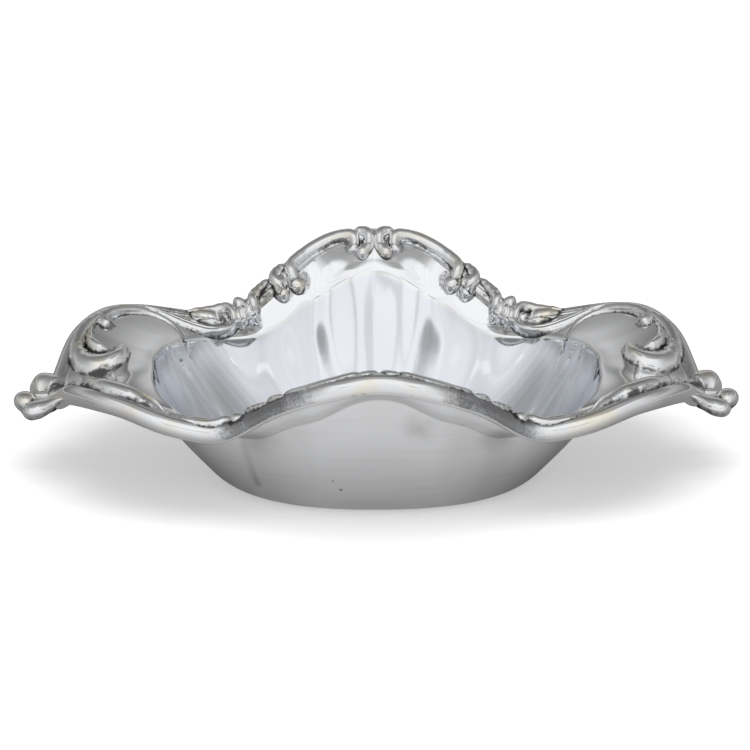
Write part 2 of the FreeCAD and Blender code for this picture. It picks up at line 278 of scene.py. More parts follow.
def bed_normal(x, y):
    """The direction square to the border's top: the cross product of two short steps on it."""
    along_x = bed_point(x + BED_STEP, y) - bed_point(x - BED_STEP, y)
    along_y = bed_point(x, y + BED_STEP) - bed_point(x, y - BED_STEP)
    normal = np.cross(along_x, along_y)
    return normal / np.linalg.norm(normal, axis=1)[:, None]


# %% [markdown]
# ## From points to pieces
# Every shape below is a grid of points. The helpers here give the grid its faces, turn them
# outwards, write the mesh in metres and join the points that fall together at poles and seams.
# The dish is the same in its four corners, so a piece of the border is worked out for one
# corner and reflected into the others, each as a piece of its own.

# %% Mesh helpers
JOIN_DISTANCE = 5e-7


def grid_faces(rows, columns):
    """Four-sided faces between neighbouring rows of points; the last column meets the first."""
    row, column = np.meshgrid(np.arange(rows - 1), np.arange(columns), indexing="ij")
    after = (column + 1) % columns
    corners = [row * columns + column, row * columns + after]
    corners += [(row + 1) * columns + after, (row + 1) * columns + column]
    return np.stack(corners, axis=-1).reshape(-1, 4)


def solid_volume(points, faces):
    """Six times the volume: the sum of the boxes that the faces' corners span."""
    a, b, c, d = (points[faces[:, k]] for k in range(4))
    triangles = np.sum(a * np.cross(b, c)) + np.sum(a * np.cross(c, d))
    return float(triangles)


def make_mesh(name, points, faces, values):
    """A smooth closed mesh in metres, facing outwards, with a value per point and layer.

    Rows that shrink to one point are joined there, so poles and seams are closed."""
    if solid_volume(points, faces) < 0:
        faces = faces[:, ::-1]
    mesh = bpy.data.meshes.new(name)
    mesh.from_pydata((points * MM).tolist(), [], faces.tolist())
    for layer, numbers in values.items():
        attribute = mesh.attributes.new(layer, "FLOAT", "POINT")
        attribute.data.foreach_set("value", np.asarray(numbers, np.float32).ravel())
    shape = bmesh.new()
    shape.from_mesh(mesh)
    bmesh.ops.remove_doubles(shape, verts=shape.verts, dist=JOIN_DISTANCE)
    shape.to_mesh(mesh)
    shape.free()
    mesh.polygons.foreach_set("use_smooth", np.ones(len(mesh.polygons), bool))
    mesh.update()
    return mesh


# %% Place a piece
def place_piece(name, mesh, finish, replaced):
    """A finished piece: it rides on the one body and stands for the nodes named."""
    piece = bpy.data.objects.new(name, mesh)
    bpy.context.scene.collection.objects.link(piece)
    piece.data.materials.append(finish)
    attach(piece, "root")
    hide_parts(*replaced)
    print(name, "has", len(mesh.polygons), "faces")


CORNERS = {
    "back_right": np.array([1, 1, 1]), "back_left": np.array([-1, 1, 1]),
    "front_right": np.array([1, -1, 1]), "front_left": np.array([-1, -1, 1]),
}


# %% Place a piece in each corner
def place_quarters(name, back, front, finish):
    """A piece of the border and its reflections, one in each corner of the dish.

    The back corners are made of the back's surfaces and the front ones of the front's."""
    for corner, sign in CORNERS.items():
        start = 0
        all_points, all_faces = [], []
        layers = {}
        for points, faces, values in (front if sign[1] < 0 else back):
            turned = points * sign
            if solid_volume(turned, faces) < 0:
                faces = faces[:, ::-1]
            all_points.append(turned)
            all_faces.append(faces + start)
            start += len(points)
            for layer, numbers in values.items():
                layers.setdefault(layer, []).append(numbers.ravel())
        layers = {layer: np.concatenate(parts) for layer, parts in layers.items()}
        label = name + "_" + corner
        mesh = make_mesh(label + "_cast", np.concatenate(all_points), np.concatenate(all_faces), layers)
        place_piece(label + "_cast", mesh, finish, [label])


# %% [markdown]
# ## A raised strand
# The real scrolls are modelled in relief: a ridge with a rounded back that swells, thins and
# ends in a bulb. A bevelled curve would be simpler, but it stays round and floats over the
# wavy border. Here a strip of points is laid along a line on the border instead and each point
# is lifted square to the metal below it, so the ridge follows flange, fillet and roll.

# %% Values along a line
def eased(values, spots):
    """Values along a line, eased from each given one to the next."""
    place = spots * (len(values) - 1)
    index = np.clip(place.astype(int), 0, len(values) - 2)
    ease = (1 - np.cos((place - index) * np.pi)) / 2
    values = np.asarray(values, float)
    return values[index] + (values[index + 1] - values[index]) * ease


# %% A raised strand
STATIONS = 72
AROUND = 22
EVEN_SHARE = 0.5
GROOVE_FADE = 0.12
SINK = 0.12
BURIED = 0.45
STRAND_WIDER = 1.35
STRAND_HIGHER = 1.35
FULLNESS = 2.0
ROUNDNESS = 0.8


def strand(line_shares, widths, rises, grooves=(), stations=STATIONS):
    """A raised strand of ornament along a line on the border.

    Across the line its back is an arch: one less a power of the distance from its crest, all
    to the power of the roundness, which is a half for half a tube and higher for a softer
    foot. A shallow notch is taken out along each groove, which is given by its place across
    the line, its depth and half width, and where it starts and stops along it. The foot sinks
    a little into what it lies on. Along the line the strand swells and thins by its widths
    and rises, and both ends are round. Returns points, faces and how deep each point lies."""
    widths = np.array(widths) * STRAND_WIDER
    rises = np.array(rises) * STRAND_HIGHER
    line = open_spline(np.array(line_shares) * [HALF_LENGTH, HALF_WIDTH])
    turn = np.linspace(0, np.pi, stations)
    spots = (1 - np.cos(turn)) / 2
    spots = (1 - EVEN_SHARE) * spots + EVEN_SHARE * np.linspace(0, 1, stations)
    centre, slope = line(spots)
    pace = np.linalg.norm(slope, axis=1)
    sideways = np.stack([-slope[:, 1], slope[:, 0]], axis=1) / pace[:, None]
    width = eased(widths, spots)
    rise = eased(rises, spots)
    length = np.append(0, np.cumsum(np.linalg.norm(np.diff(centre, axis=0), axis=1)))
    near_end = np.minimum(length, length[-1] - length)
    round_end = np.sqrt(np.clip(1 - (1 - np.clip(near_end / (width / 2), 0, 1)) ** 2, 0, 1))
    half = width / 2 * round_end
    crown_turn = np.linspace(0, np.pi, AROUND)
    across = np.cos(crown_turn)
    crown = np.clip(1 - np.abs(across) ** FULLNESS, 0, 1) ** ROUNDNESS
    cut = np.zeros((stations, AROUND))
    for place, depth, spread, first, last in grooves:
        along = np.clip((spots - first) / GROOVE_FADE, 0, 1)
        along = along * np.clip((last - spots) / GROOVE_FADE, 0, 1)
        notch = np.exp(-((across - place) / spread) ** 2)
        cut = cut + depth * along[:, None] * notch
    lift = (rise * np.sqrt(round_end))[:, None] * np.clip(crown - cut, 0, 1)
    lift = lift * (1 + SINK) - SINK
    low = np.full((stations, AROUND - 2), -BURIED) * np.sqrt(round_end)[:, None]
    back = across[1:-1][::-1]
    offsets = np.concatenate([across, back])
    lifts = np.concatenate([lift, low], axis=1)
    place = centre[:, None, :] + sideways[:, None, :] * (half[:, None] * offsets)[:, :, None]
    flat = place.reshape(-1, 2)
    points = bed_point(flat[:, 0], flat[:, 1], lifts.ravel())
    depth = np.concatenate([1 - np.clip(crown - cut, 0, 1), np.ones_like(low)], axis=1)
    return points, grid_faces(stations, len(offsets)), {"recess": depth.ravel()}


# %% [markdown]
# ## The bowl
# The real bowl is one stamped sheet. Its inside is worked out here ring by ring: a flat floor,
# a rounded corner, a wall that leaves the corner steeply and arrives upright at the shoulder,
# a small rounding there, and the straight flange out to under the roll. The outside is the
# same surface moved back square to itself by the sheet's thickness, and the two close at the
# flange's edge and at the middle of the floor.

# %% Sizes of the bowl
# A bulge is the share of a quarter circle's swell that the wall keeps at the middle of the
# long sides. A level is 0 at the floor's corner and 1 at the shoulder. Rings are counted from
# the middle of the floor outwards.
FLOOR_LENGTH = 73.5
FLOOR_WIDTH = 58.2
FLOOR_CORNER = 2.7
FLOOR_ROUNDNESS = 2.2
WALL_REACH_POWER = 0.96
WALL_RISE_POWER = 0.455
FIRST_LEVEL = 0.113
INSIDE_BULGE = 0.25
OUTSIDE_BULGE = 0.85
SHOULDER_FILL = 1.7
SHOULDER_ROUNDING = 1.5
EDGE_INSIDE = 0.8
FLANGE_SWELL = 0.34
LAST_LEVEL = 0.955
FLOOR_RINGS = 8
CORNER_RINGS = 8
WALL_RINGS = 38
SHOULDER_RINGS = 8
FLANGE_RINGS = 16
WALL_TOP = FLOOR_RINGS + CORNER_RINGS + WALL_RINGS
WELL_RINGS = WALL_TOP - 2
FILL_RING = WALL_TOP + 5
FILL_SPREAD = 11.0
BOWL_ANGLES = 600
print("rings inside the bowl:", WALL_TOP + SHOULDER_RINGS + FLANGE_RINGS)


# %% The floor's outline and the wall
def floor_edge(angle):
    """The rounded outline of the floor: a circle stretched and squared a little."""
    along = np.abs(np.cos(angle)) / (FLOOR_LENGTH / 2 - SHEET)
    across = np.abs(np.sin(angle)) / (FLOOR_WIDTH / 2 - SHEET)
    return (along ** FLOOR_ROUNDNESS + across ** FLOOR_ROUNDNESS) ** (-1 / FLOOR_ROUNDNESS)


def wall_at(angle, level, side_bulge):
    """Radius and height of the wall at a level from the floor's corner to the shoulder.

    At the ends of the dish the wall is a stretched quarter circle, and at the middle of its
    sides it keeps only the share side_bulge of that circle's swell over a straight line."""
    top = shoulder_ring(angle)[0]
    start = floor_edge(angle)
    reach = np.sin(level * QUARTER) ** WALL_REACH_POWER
    rise = (1 - np.cos(level * QUARTER)) ** WALL_RISE_POWER
    bulge = side_bulge + (1 - side_bulge) * np.cos(angle) ** 2
    reach = rise + (reach - rise) * bulge
    radius = start + (top[:, 0] - start) * reach
    return radius, SHEET + (top[:, 1] - SHEET) * rise


# %% Hammer waves
WAVES = ((14, 0.075, 0.4), (22, 0.035, 1.9), (37, 0.016, 4.0), (61, 0.006, 2.2))
WAVES_AT_ENDS = 0.35
WAVE_FADE = 0.7


def hand_waves(angle):
    """The faint upright waves that planishing leaves in the wall: a sum of a few sines.

    Each wave has a number round the dish, a size and a start, and all are fainter at the
    dish's two ends."""
    waves = np.zeros_like(angle)
    for count, size, start in WAVES:
        waves = waves + size * np.sin(count * angle + start)
    return waves * (WAVES_AT_ENDS + (1 - WAVES_AT_ENDS) * np.sin(angle) ** 2)


def round_point(radius, angle, height):
    """Points from their distance to the dish's middle, their angle round it and their height."""
    return np.stack([radius * np.cos(angle), radius * np.sin(angle), height], axis=1)


# %% Rings from the floor to the flange's edge
def bowl_rings(angle, side_bulge):
    """Rings of points from the middle of the floor out to the flange's edge.

    The floor's corner and the shoulder are bent between two straight runs: each ring there
    lies between the runs' ends by the squares of the shares left and gone."""
    edge = floor_edge(angle)
    flat = edge - FLOOR_CORNER
    floor = np.full_like(angle, SHEET)
    rings = [round_point(flat * share, angle, floor) for share in np.linspace(0, 1, FLOOR_RINGS)]
    first_radius, first_height = wall_at(angle, FIRST_LEVEL, side_bulge)
    for share in np.linspace(0.1, 0.9, CORNER_RINGS):
        radius = edge - FLOOR_CORNER * (1 - share) ** 2 + (first_radius - edge) * share ** 2
        height = SHEET + (first_height - SHEET) * share ** 2
        rings.append(round_point(radius, angle, height))
    top = shoulder_ring(angle)[0]
    for step in range(WALL_RINGS):
        level = FIRST_LEVEL + (LAST_LEVEL - FIRST_LEVEL) * step / (WALL_RINGS - 1)
        radius, height = wall_at(angle, level, side_bulge)
        swell = np.sin(np.pi * (level - FIRST_LEVEL) / (1 - FIRST_LEVEL)) ** WAVE_FADE
        rings.append(round_point(radius + hand_waves(angle) * swell, angle, height))
    wall_end = rings[-1]
    corner = round_point(top[:, 0], angle, top[:, 1])
    cut = border_section(angle)
    rim = np.stack([cut["x"], cut["y"]], axis=1) + cut["inward"] * EDGE_INSIDE
    outward = rim - corner[:, :2]
    reach = np.linalg.norm(outward, axis=1)
    share = (SHOULDER_ROUNDING / reach)[:, None]
    turn_end = corner[:, :2] + outward * share
    turn_end = np.column_stack([turn_end, flange_height(turn_end[:, 0], turn_end[:, 1])])
    for place in np.linspace(0, 1, SHOULDER_RINGS + 1)[1:]:
        bend = wall_end * (1 - place) ** 2 + corner * 2 * place * (1 - place)
        rings.append(bend + turn_end * place ** 2)
    for place in np.linspace(0, 1, FLANGE_RINGS + 1)[1:]:
        spot = turn_end[:, :2] + (rim - turn_end[:, :2]) * place
        swell = FLANGE_SWELL * np.sin(np.pi * place) * np.sin(angle) ** 2
        rings.append(np.column_stack([spot, flange_height(spot[:, 0], spot[:, 1]) + swell]))
    return np.stack(rings)


def grid_normals(grid):
    """Directions square to a grid of rings, from the steps to the neighbouring points."""
    along = np.gradient(grid, axis=0)
    around = np.roll(grid, -1, axis=1) - np.roll(grid, 1, axis=1)
    normal = np.cross(around, along)
    normal[0] = [0, 0, -1]
    size = np.linalg.norm(normal, axis=2, keepdims=True)
    return normal / np.maximum(size, 1e-9)


# %% Build the bowl
# The crease is not in the bowl's shape: its line only carries painted shade.
CREASE = np.array([[-30.2, -31.8, 19.5], [-26.8, -25.8, 6.1]])
CREASE_HALF = 0.8
CREASE_TOP = 0.35


def crease_shade_mask(points):
    """1 along the line of an old crease outside, where shade is painted, and 0 away from it: a bell over the
    distance to a line.

    It is fainter at the top than at the foot."""
    run = CREASE[1] - CREASE[0]
    share = np.clip((points - CREASE[0]) @ run / (run @ run), 0, 1)
    away = np.linalg.norm(points - CREASE[0] - share[:, None] * run, axis=1)
    return np.exp(-(away / CREASE_HALF) ** 2) * (CREASE_TOP + (1 - CREASE_TOP) * share)


def make_bowl_surface():
    """The bowl's closed surface: the inside, then the outside back from the edge to the floor.

    Under the shoulder of the long sides the outside is filled out a little, by a bell over
    the rings."""
    angle = np.linspace(0, TURN, BOWL_ANGLES, endpoint=False)
    inside = bowl_rings(angle, INSIDE_BULGE)
    outside = bowl_rings(angle, OUTSIDE_BULGE)
    outward = grid_normals(outside)
    outward = outward * np.sign(-outward[4, :, 2].mean())
    place = np.arange(len(outside))
    fill = SHOULDER_FILL * np.exp(-((place - FILL_RING) / FILL_SPREAD) ** 2)
    fill = fill[:, None] * np.sin(angle) ** 2
    outside = outside + outward * SHEET
    outside[:, :, 0] += fill * np.cos(angle)
    outside[:, :, 1] += fill * np.sin(angle)
    outside[0] = outside[0].mean(axis=0)
    rings = np.concatenate([inside, outside[::-1]])
    sheen = np.concatenate([np.zeros(len(inside)), np.ones(len(outside))])
    sheen = np.repeat(sheen, BOWL_ANGLES)
    well = np.repeat((np.arange(len(rings)) < WELL_RINGS) * 1.0, BOWL_ANGLES)
    points = rings.reshape(-1, 3)
    values = {"outside": sheen, "well": well, "crease": crease_shade_mask(points) * sheen}
    return points, grid_faces(len(rings), BOWL_ANGLES), values


# %% [markdown]
# ## The edge roll
# The roll is carried round the rim in four quarters. Its section starts as a thin skirt on the
# flange, climbs the fillet, goes over the crest and down the outside to a fine lip, and closes
# underneath. Where the real border is reeded, low ribs that run along the rim are added to
# the section's radius, and they fade in and out along the rim.

# %% The roll's section
REEDS = [
    {"first": 0.330, "last": 0.418, "turn": (-0.15, 0.75), "ribs": 2, "depth": 0.22},
    {"first": 0.520, "last": 0.760, "turn": (-0.10, 0.85), "ribs": 3, "depth": 0.24},
]
LIP_TURN = -2.50
LIP_WIDTH = 0.12
LIP_HEIGHT = 0.16
SKIRT_SHARES = (1.5, 1.0, 0.5, 0.0)
SKIRT_DROP = 0.004
SKIRT_TURN = 1.6
FILLET_ROWS = 5
FILLET_TURN = 0.8
LAST_TURN = -3.9
ROLL_ROWS = 56
END_STEP = 0.0002
PATINA_MIDDLE = 0.34
PATINA_HALF = 0.17
PATINA_TURNS = (-2.42, -2.12)
INNER_TURNS = (-1.3, -0.8)
ROLL_TURNS = [-3.9, -2.9, -2.65, -2.50, -2.36, -2.22, -1.90, -0.6, -0.1, 0.25, 0.6, 1.0, 1.6]
ROLL_DEPTHS = [0.7, 0.5, 0.25, 0.0, 0.25, 0.45, 0.10, 0.05, 0.35, 0.50, 0.55, 0.60, 0.15]


def reeding(along_share, turn):
    """The low ribs of the reeded stretches, over the share along the dish and the turn."""
    height = np.zeros(np.broadcast(along_share, turn).shape)
    for reed in REEDS:
        middle = (reed["first"] + reed["last"]) / 2
        half = (reed["last"] - reed["first"]) / 2
        fade = np.clip(1 - ((along_share - middle) / half) ** 4, 0, 1)
        low, high = reed["turn"]
        place = (turn - low) / (high - low)
        inside = (place > 0) & (place < 1)
        wave = 0.5 - 0.5 * np.cos(place * reed["ribs"] * TURN)
        height = height + np.where(inside, fade * reed["depth"] * (wave - 1), 0)
    return height


# %% The roll's surface
def closed_ends(rows):
    """Values along the roll with the first and last row again, for the two closing caps."""
    return np.concatenate([rows[:1], rows, rows[-1:]])


def between_turns(turns, limits):
    """0 up to the first limit, 1 from the second, and straight between them."""
    low, high = limits
    return np.clip((turns - low) / (high - low), 0, 1)


def roll_surface(start, stop, stations, patina):
    """A stretch of the roll between two angles round the dish.

    A turn is the angle round the roll's section, 0 at its crest and negative down its face.
    The values are how deep a point lies, how much patina it has between the middle and the
    ears, and whether it is on the roll's inner side."""
    angle = np.linspace(start, stop, stations)
    angle = np.concatenate([[start], angle[:1] + END_STEP, angle[1:-1], angle[-1:] - END_STEP, [stop]])
    cut = border_section(angle)
    inward = cut["inward"]
    centre = np.stack([cut["x"], cut["y"]], axis=1)
    rows, turns = [], []
    for share in SKIRT_SHARES:
        inside = cut["flange_start"] + share
        spot = centre + inward * inside[:, None]
        height = flange_height(spot[:, 0], spot[:, 1]) - SKIRT_DROP * share
        rows.append(np.column_stack([spot, height]))
        turns.append(np.full(len(angle), SKIRT_TURN))
    for share in np.linspace(0, 1, FILLET_ROWS + 2)[1:-1]:
        inside = cut["flange_start"] + (cut["roll_end"] - cut["flange_start"]) * share
        spot = centre + inward * inside[:, None]
        rows.append(bed_point(spot[:, 0], spot[:, 1]))
        turns.append(np.full(len(angle), SKIRT_TURN - share * FILLET_TURN))
    first_turn = np.arcsin(cut["roll_end"] / WIRE_RADIUS)
    along_share = np.abs(cut["x"]) / HALF_LENGTH
    for share in np.linspace(0, 1, ROLL_ROWS):
        turn = first_turn + (LAST_TURN - first_turn) * share
        radius = WIRE_RADIUS + LIP_HEIGHT * np.exp(-((turn - LIP_TURN) / LIP_WIDTH) ** 2)
        radius = radius + reeding(along_share, turn)
        spot = centre + inward * (radius * np.sin(turn))[:, None]
        rows.append(np.column_stack([spot, cut["height"] + radius * np.cos(turn)]))
        turns.append(turn)
    grid = np.stack(rows, axis=1)
    turns = np.stack(turns, axis=1)
    depth = np.interp(turns, ROLL_TURNS, ROLL_DEPTHS)
    window = np.exp(-((along_share - PATINA_MIDDLE) / PATINA_HALF) ** 4)[:, None]
    tarnish = patina * window * between_turns(turns, PATINA_TURNS)
    values = {"recess": depth, "patina": tarnish, "inner": between_turns(turns, INNER_TURNS)}
    values = {layer: closed_ends(numbers).ravel() for layer, numbers in values.items()}
    ends = [grid[one].mean(axis=0) + 0 * grid[one] for one in (0, -1)]
    grid = np.concatenate([ends[:1], grid, ends[1:]])
    return grid.reshape(-1, 3), grid_faces(len(grid), grid.shape[1]), values


# %% [markdown]
# ## The scrolls
# Every scroll is made of strands: raised lines that swell, thin, hook round and end in a bulb.
# A strand's line is a short list of places on the border, as shares of half the dish's length
# and width, with its widths and heights in millimetres along that line.

# %% The strands of one quarter
SCROLLS = {
    "centre_volute": [
        dict(
            line=[(0.064, 0.988), (0.040, 0.984), (0.021, 0.968), (0.016, 0.946), (0.024, 0.926),
                  (0.042, 0.914), (0.056, 0.924)],
            widths=[1.1, 1.7, 1.9, 2.0, 2.2, 2.6, 2.1], rises=[0.5, 0.8, 0.9, 1.0, 1.1, 1.3, 1.1],
        ),
    ],
    "centre_scroll": [
        dict(
            line=[(0.084, 0.936), (0.073, 0.930), (0.063, 0.942), (0.068, 0.962), (0.090, 0.975),
                  (0.130, 0.981), (0.175, 0.966), (0.222, 0.934), (0.252, 0.902), (0.268, 0.876),
                  (0.270, 0.852), (0.258, 0.836), (0.240, 0.834), (0.226, 0.846)],
            widths=[1.5, 1.9, 1.8, 1.9, 2.1, 2.2, 2.2, 2.2, 2.2, 2.2, 2.1, 2.2, 2.5, 2.2],
            rises=[0.8, 1.0, 1.0, 0.9, 0.8, 0.8, 0.8, 0.8, 0.8, 0.9, 1.0, 1.1, 1.3, 1.1],
            stations=130,
        ),
    ],
    "leaf_scroll": [
        dict(
            line=[(0.288, 0.892), (0.304, 0.870), (0.318, 0.844), (0.322, 0.820), (0.311, 0.803),
                  (0.293, 0.801), (0.274, 0.812)],
            widths=[0.8, 1.5, 1.9, 2.0, 2.1, 2.4, 1.9], rises=[0.4, 0.9, 1.1, 1.2, 1.2, 1.3, 1.0],
        ),
    ],
    "leaf_clasp": [
        dict(
            line=[(0.342, 0.838), (0.358, 0.812), (0.376, 0.784), (0.388, 0.758), (0.390, 0.732),
                  (0.382, 0.710), (0.372, 0.696)],
            widths=[0.8, 1.5, 1.9, 2.0, 2.2, 2.2, 1.2], rises=[0.4, 0.8, 1.0, 1.3, 1.7, 1.3, 0.6],
            grooves=[(0.1, 0.3, 0.15, 0.1, 0.6)],
        ),
        dict(
            line=[(0.436, 0.728), (0.434, 0.760), (0.431, 0.790)],
            widths=[2.2, 2.6, 2.2], rises=[1.1, 1.5, 1.1],
        ),
        dict(
            line=[(0.406, 0.762), (0.404, 0.732), (0.399, 0.702), (0.396, 0.682)],
            widths=[1.4, 2.3, 2.4, 1.3], rises=[0.5, 0.8, 1.7, 0.7],
        ),
        dict(
            line=[(0.434, 0.754), (0.432, 0.720), (0.427, 0.686), (0.422, 0.664)],
            widths=[1.8, 3.0, 3.0, 1.6], rises=[0.6, 1.0, 1.9, 0.8],
            grooves=[(-0.05, 0.35, 0.16, 0.0, 1.0)],
        ),
    ],
    "side_volute": [
        dict(
            line=[(0.740, 0.634), (0.700, 0.644), (0.650, 0.634), (0.600, 0.616), (0.551, 0.608),
                  (0.512, 0.616), (0.478, 0.640), (0.456, 0.674), (0.453, 0.709), (0.466, 0.736),
                  (0.494, 0.748), (0.530, 0.744), (0.568, 0.730), (0.604, 0.714)],
            widths=[0.6, 1.2, 1.6, 2.0, 2.3, 2.4, 2.2, 2.0, 1.9, 1.9, 1.8, 1.6, 1.3, 0.6],
            rises=[0.3, 0.6, 0.8, 0.9, 1.1, 1.3, 1.5, 1.6, 1.6, 1.6, 1.4, 1.1, 0.8, 0.3],
            grooves=[(-0.35, 0.3, 0.13, 0.05, 0.5), (0.2, 0.3, 0.13, 0.05, 0.5)],
            stations=130,
        ),
        dict(
            line=[(0.592, 0.694), (0.560, 0.698), (0.524, 0.694), (0.490, 0.682)],
            widths=[0.9, 2.4, 3.0, 1.8], rises=[0.5, 1.3, 1.5, 0.9],
        ),
    ],
    "ear_scroll": [
        dict(
            line=[(0.603, 0.470), (0.622, 0.530), (0.650, 0.586), (0.690, 0.612), (0.735, 0.610),
                  (0.780, 0.586), (0.820, 0.552), (0.848, 0.514), (0.862, 0.474), (0.860, 0.438),
                  (0.845, 0.424)],
            widths=[0.5, 0.9, 1.1, 1.3, 1.5, 1.7, 1.9, 2.0, 2.2, 2.4, 2.4],
            rises=[0.2, 0.4, 0.5, 0.5, 0.6, 0.6, 0.7, 0.9, 1.1, 1.3, 1.3],
        ),
    ],
    "end_volute": [
        dict(
            line=[(0.866, 0.505), (0.896, 0.455), (0.920, 0.400), (0.936, 0.335), (0.944, 0.265),
                  (0.936, 0.205), (0.915, 0.155), (0.885, 0.128), (0.850, 0.120), (0.819, 0.138),
                  (0.803, 0.178), (0.805, 0.218), (0.820, 0.240)],
            widths=[1.0, 1.7, 2.2, 2.4, 2.5, 3.0, 4.0, 4.8, 4.9, 4.3, 3.5, 3.0, 2.2],
            rises=[0.4, 0.7, 0.9, 1.0, 1.1, 1.3, 1.5, 1.7, 1.8, 1.8, 1.8, 1.6, 1.3],
            stations=220,
        ),
        dict(
            line=[(0.890, 0.445), (0.903, 0.400), (0.907, 0.350), (0.903, 0.300), (0.889, 0.262),
                  (0.868, 0.240), (0.846, 0.232)],
            widths=[0.7, 1.1, 1.4, 1.8, 2.4, 2.2, 1.0], rises=[0.5, 0.9, 1.1, 1.2, 1.5, 1.4, 0.6],
        ),
    ],
}


print("strands in one corner:", sum(len(strands) for strands in SCROLLS.values()))

# %% [markdown]
# ## The front corners
# On the real dish the four corners aren't alike. In front the thick volute and the thin ear
# scroll are missing, and a low swelling and a flat strand along the roll stand in their
# place. Those two scrolls therefore have lines of their own for the front corners.

# %% The front corners' own strands
FRONT_SCROLLS = {
    "ear_scroll": [
        dict(
            line=[(0.920, 0.380), (0.880, 0.462), (0.830, 0.530), (0.770, 0.580), (0.700, 0.624),
                  (0.640, 0.655)],
            widths=[1.2, 3.0, 3.8, 3.6, 2.7, 0.9], rises=[0.5, 1.6, 2.1, 2.1, 1.6, 0.5],
        ),
    ],
    "end_volute": [
        dict(
            line=[(0.905, 0.440), (0.926, 0.372), (0.942, 0.300), (0.952, 0.225), (0.957, 0.150)],
            widths=[0.8, 1.6, 2.0, 1.8, 1.0], rises=[0.3, 0.8, 1.0, 0.8, 0.4],
        ),
    ],
}


# %% [markdown]
# ## The palmettes
# At each end three plump lobes spread from one root, like a small shell that is wrapped over
# the roll. A lobe is a tube of oval sections along a bent spine: narrow at the root, full near
# its end and closed in a round tip. Thin ribs fill the valleys between the lobes.

# %% A tube of oval sections
LOBE_STATIONS = 56
LOBE_AROUND = 28
UPWARDS = np.array([0.0, 0.0, 1.0])
ROOT_REACH = 2.6
LOBE_BLOOM = 0.55
LOBE_SHADE = 0.6


def tube(spine, widths, heights):
    """A closed tube of oval sections along a spine of points in space.

    A section is a circle stretched to the width sideways and to the height upwards, and it
    shrinks to a point at both ends as a round tip does. Its root lies deep, and its underside
    is painted darker as shade."""
    spine = np.array(spine, float)
    steps = np.linalg.norm(np.diff(spine, axis=0), axis=1)
    flat = np.column_stack([np.append(0, np.cumsum(steps)), np.zeros(len(spine)), spine])
    curve = open_spline(flat)
    spots = (1 - np.cos(np.linspace(0, np.pi, LOBE_STATIONS))) / 2
    value, slope = curve(spots)
    centre, along = value[:, 2:], slope[:, 2:]
    along = along / np.linalg.norm(along, axis=1)[:, None]
    side = np.cross(along, UPWARDS)
    side = side / np.linalg.norm(side, axis=1)[:, None]
    up = np.cross(side, along)
    length = steps.sum()
    width = eased(widths, spots) / 2
    height = eased(heights, spots) / 2
    near = np.minimum(spots, 1 - spots) * length
    cap = np.sqrt(np.clip(1 - (1 - np.clip(near / height.max(), 0, 1)) ** 2, 0, 1))
    turn = np.linspace(0, TURN, LOBE_AROUND, endpoint=False)
    ring = side[:, None] * (np.cos(turn)[None, :, None] * (width * cap)[:, None, None])
    ring = ring + up[:, None] * (np.sin(turn)[None, :, None] * (height * cap)[:, None, None])
    points = centre[:, None] + ring
    root = np.exp(-(spots * length / ROOT_REACH) ** 2)
    # The lobe's underside is painted darker as shade and its top lighter; the root is a hollow.
    depth = np.clip(LOBE_BLOOM - LOBE_SHADE * np.sin(turn)[None, :] + root[:, None], 0, 1)
    return points.reshape(-1, 3), grid_faces(LOBE_STATIONS, LOBE_AROUND), {"recess": depth.ravel()}


# %% The palmette's lobes
LOBES = [
    dict(spine=[(70.8, 2.0, 17.4), (72.8, 4.2, 17.6), (75.6, 6.2, 17.0), (79.2, 6.8, 15.8)],
         widths=[3.4, 5.8, 7.0, 6.0], heights=[3.6, 6.4, 7.4, 6.0]),
    dict(spine=[(72.0, -4.0, 17.6), (74.0, -6.2, 17.8), (76.8, -7.6, 17.2), (80.2, -8.0, 16.4)],
         widths=[2.2, 3.8, 4.8, 4.4], heights=[2.4, 3.4, 4.2, 3.8]),
    dict(spine=[(72.4, 0.0, 16.4), (75.6, 0.0, 15.6), (78.4, 0.0, 15.5), (80.8, 0.0, 16.0),
                (82.5, 0.0, 15.6)],
         widths=[3.0, 3.4, 4.2, 5.8, 5.4], heights=[2.8, 2.8, 3.4, 5.4, 5.2]),
    dict(spine=[(71.8, 0.8, 17.6), (75.0, 1.4, 17.0), (78.2, 2.2, 16.8)],
         widths=[1.0, 1.5, 1.2], heights=[1.6, 1.8, 1.4]),
    dict(spine=[(71.8, -1.6, 17.6), (75.0, -2.6, 17.2), (78.2, -3.6, 16.8)],
         widths=[1.0, 1.7, 1.4], heights=[1.6, 1.9, 1.5]),
]


def place_palmette(side, sign, finish):
    """One end's palmette, all its lobes in one casting."""
    start, points, faces, depth = 0, [], [], []
    for lobe in LOBES:
        some, some_faces, values = tube(**lobe)
        some = some * [sign, 1, 1]
        if solid_volume(some, some_faces) < 0:
            some_faces = some_faces[:, ::-1]
        points.append(some)
        faces.append(some_faces + start)
        depth.append(values["recess"])
        start += len(some)
    name = "palmette_" + side
    mesh = make_mesh(name + "_cast", np.concatenate(points), np.concatenate(faces),
                     {"recess": np.concatenate(depth)})
    place_piece(name + "_cast", mesh, finish, [name])


# %% [markdown]
# ## Shader arithmetic
# A mask in a material is a sum of a few numbers. Wrapping a socket in a class with the usual
# operators lets that sum be read as it would be written on paper.

# %% Sockets that can be added
class Socket:
    """One output of a shader tree, with the operators that the masks below use."""

    def __init__(self, tree, output):
        self.tree = tree
        self.output = output

    def apply(self, operation, first, second):
        """A node that works one operation on two values."""
        return self.tree.node("ShaderNodeMath", {"operation": operation}, {0: first, 1: second})

    def __add__(self, other):
        return self.apply("ADD", self, other)

    __radd__ = __add__

    def __sub__(self, other):
        return self.apply("SUBTRACT", self, other)

    def __rsub__(self, other):
        return self.apply("SUBTRACT", other, self)

    def __mul__(self, other):
        return self.apply("MULTIPLY", self, other)

    __rmul__ = __mul__

    def clip(self):
        """The value kept between 0 and 1."""
        return self.tree.node("ShaderNodeClamp", {}, {"Value": self})


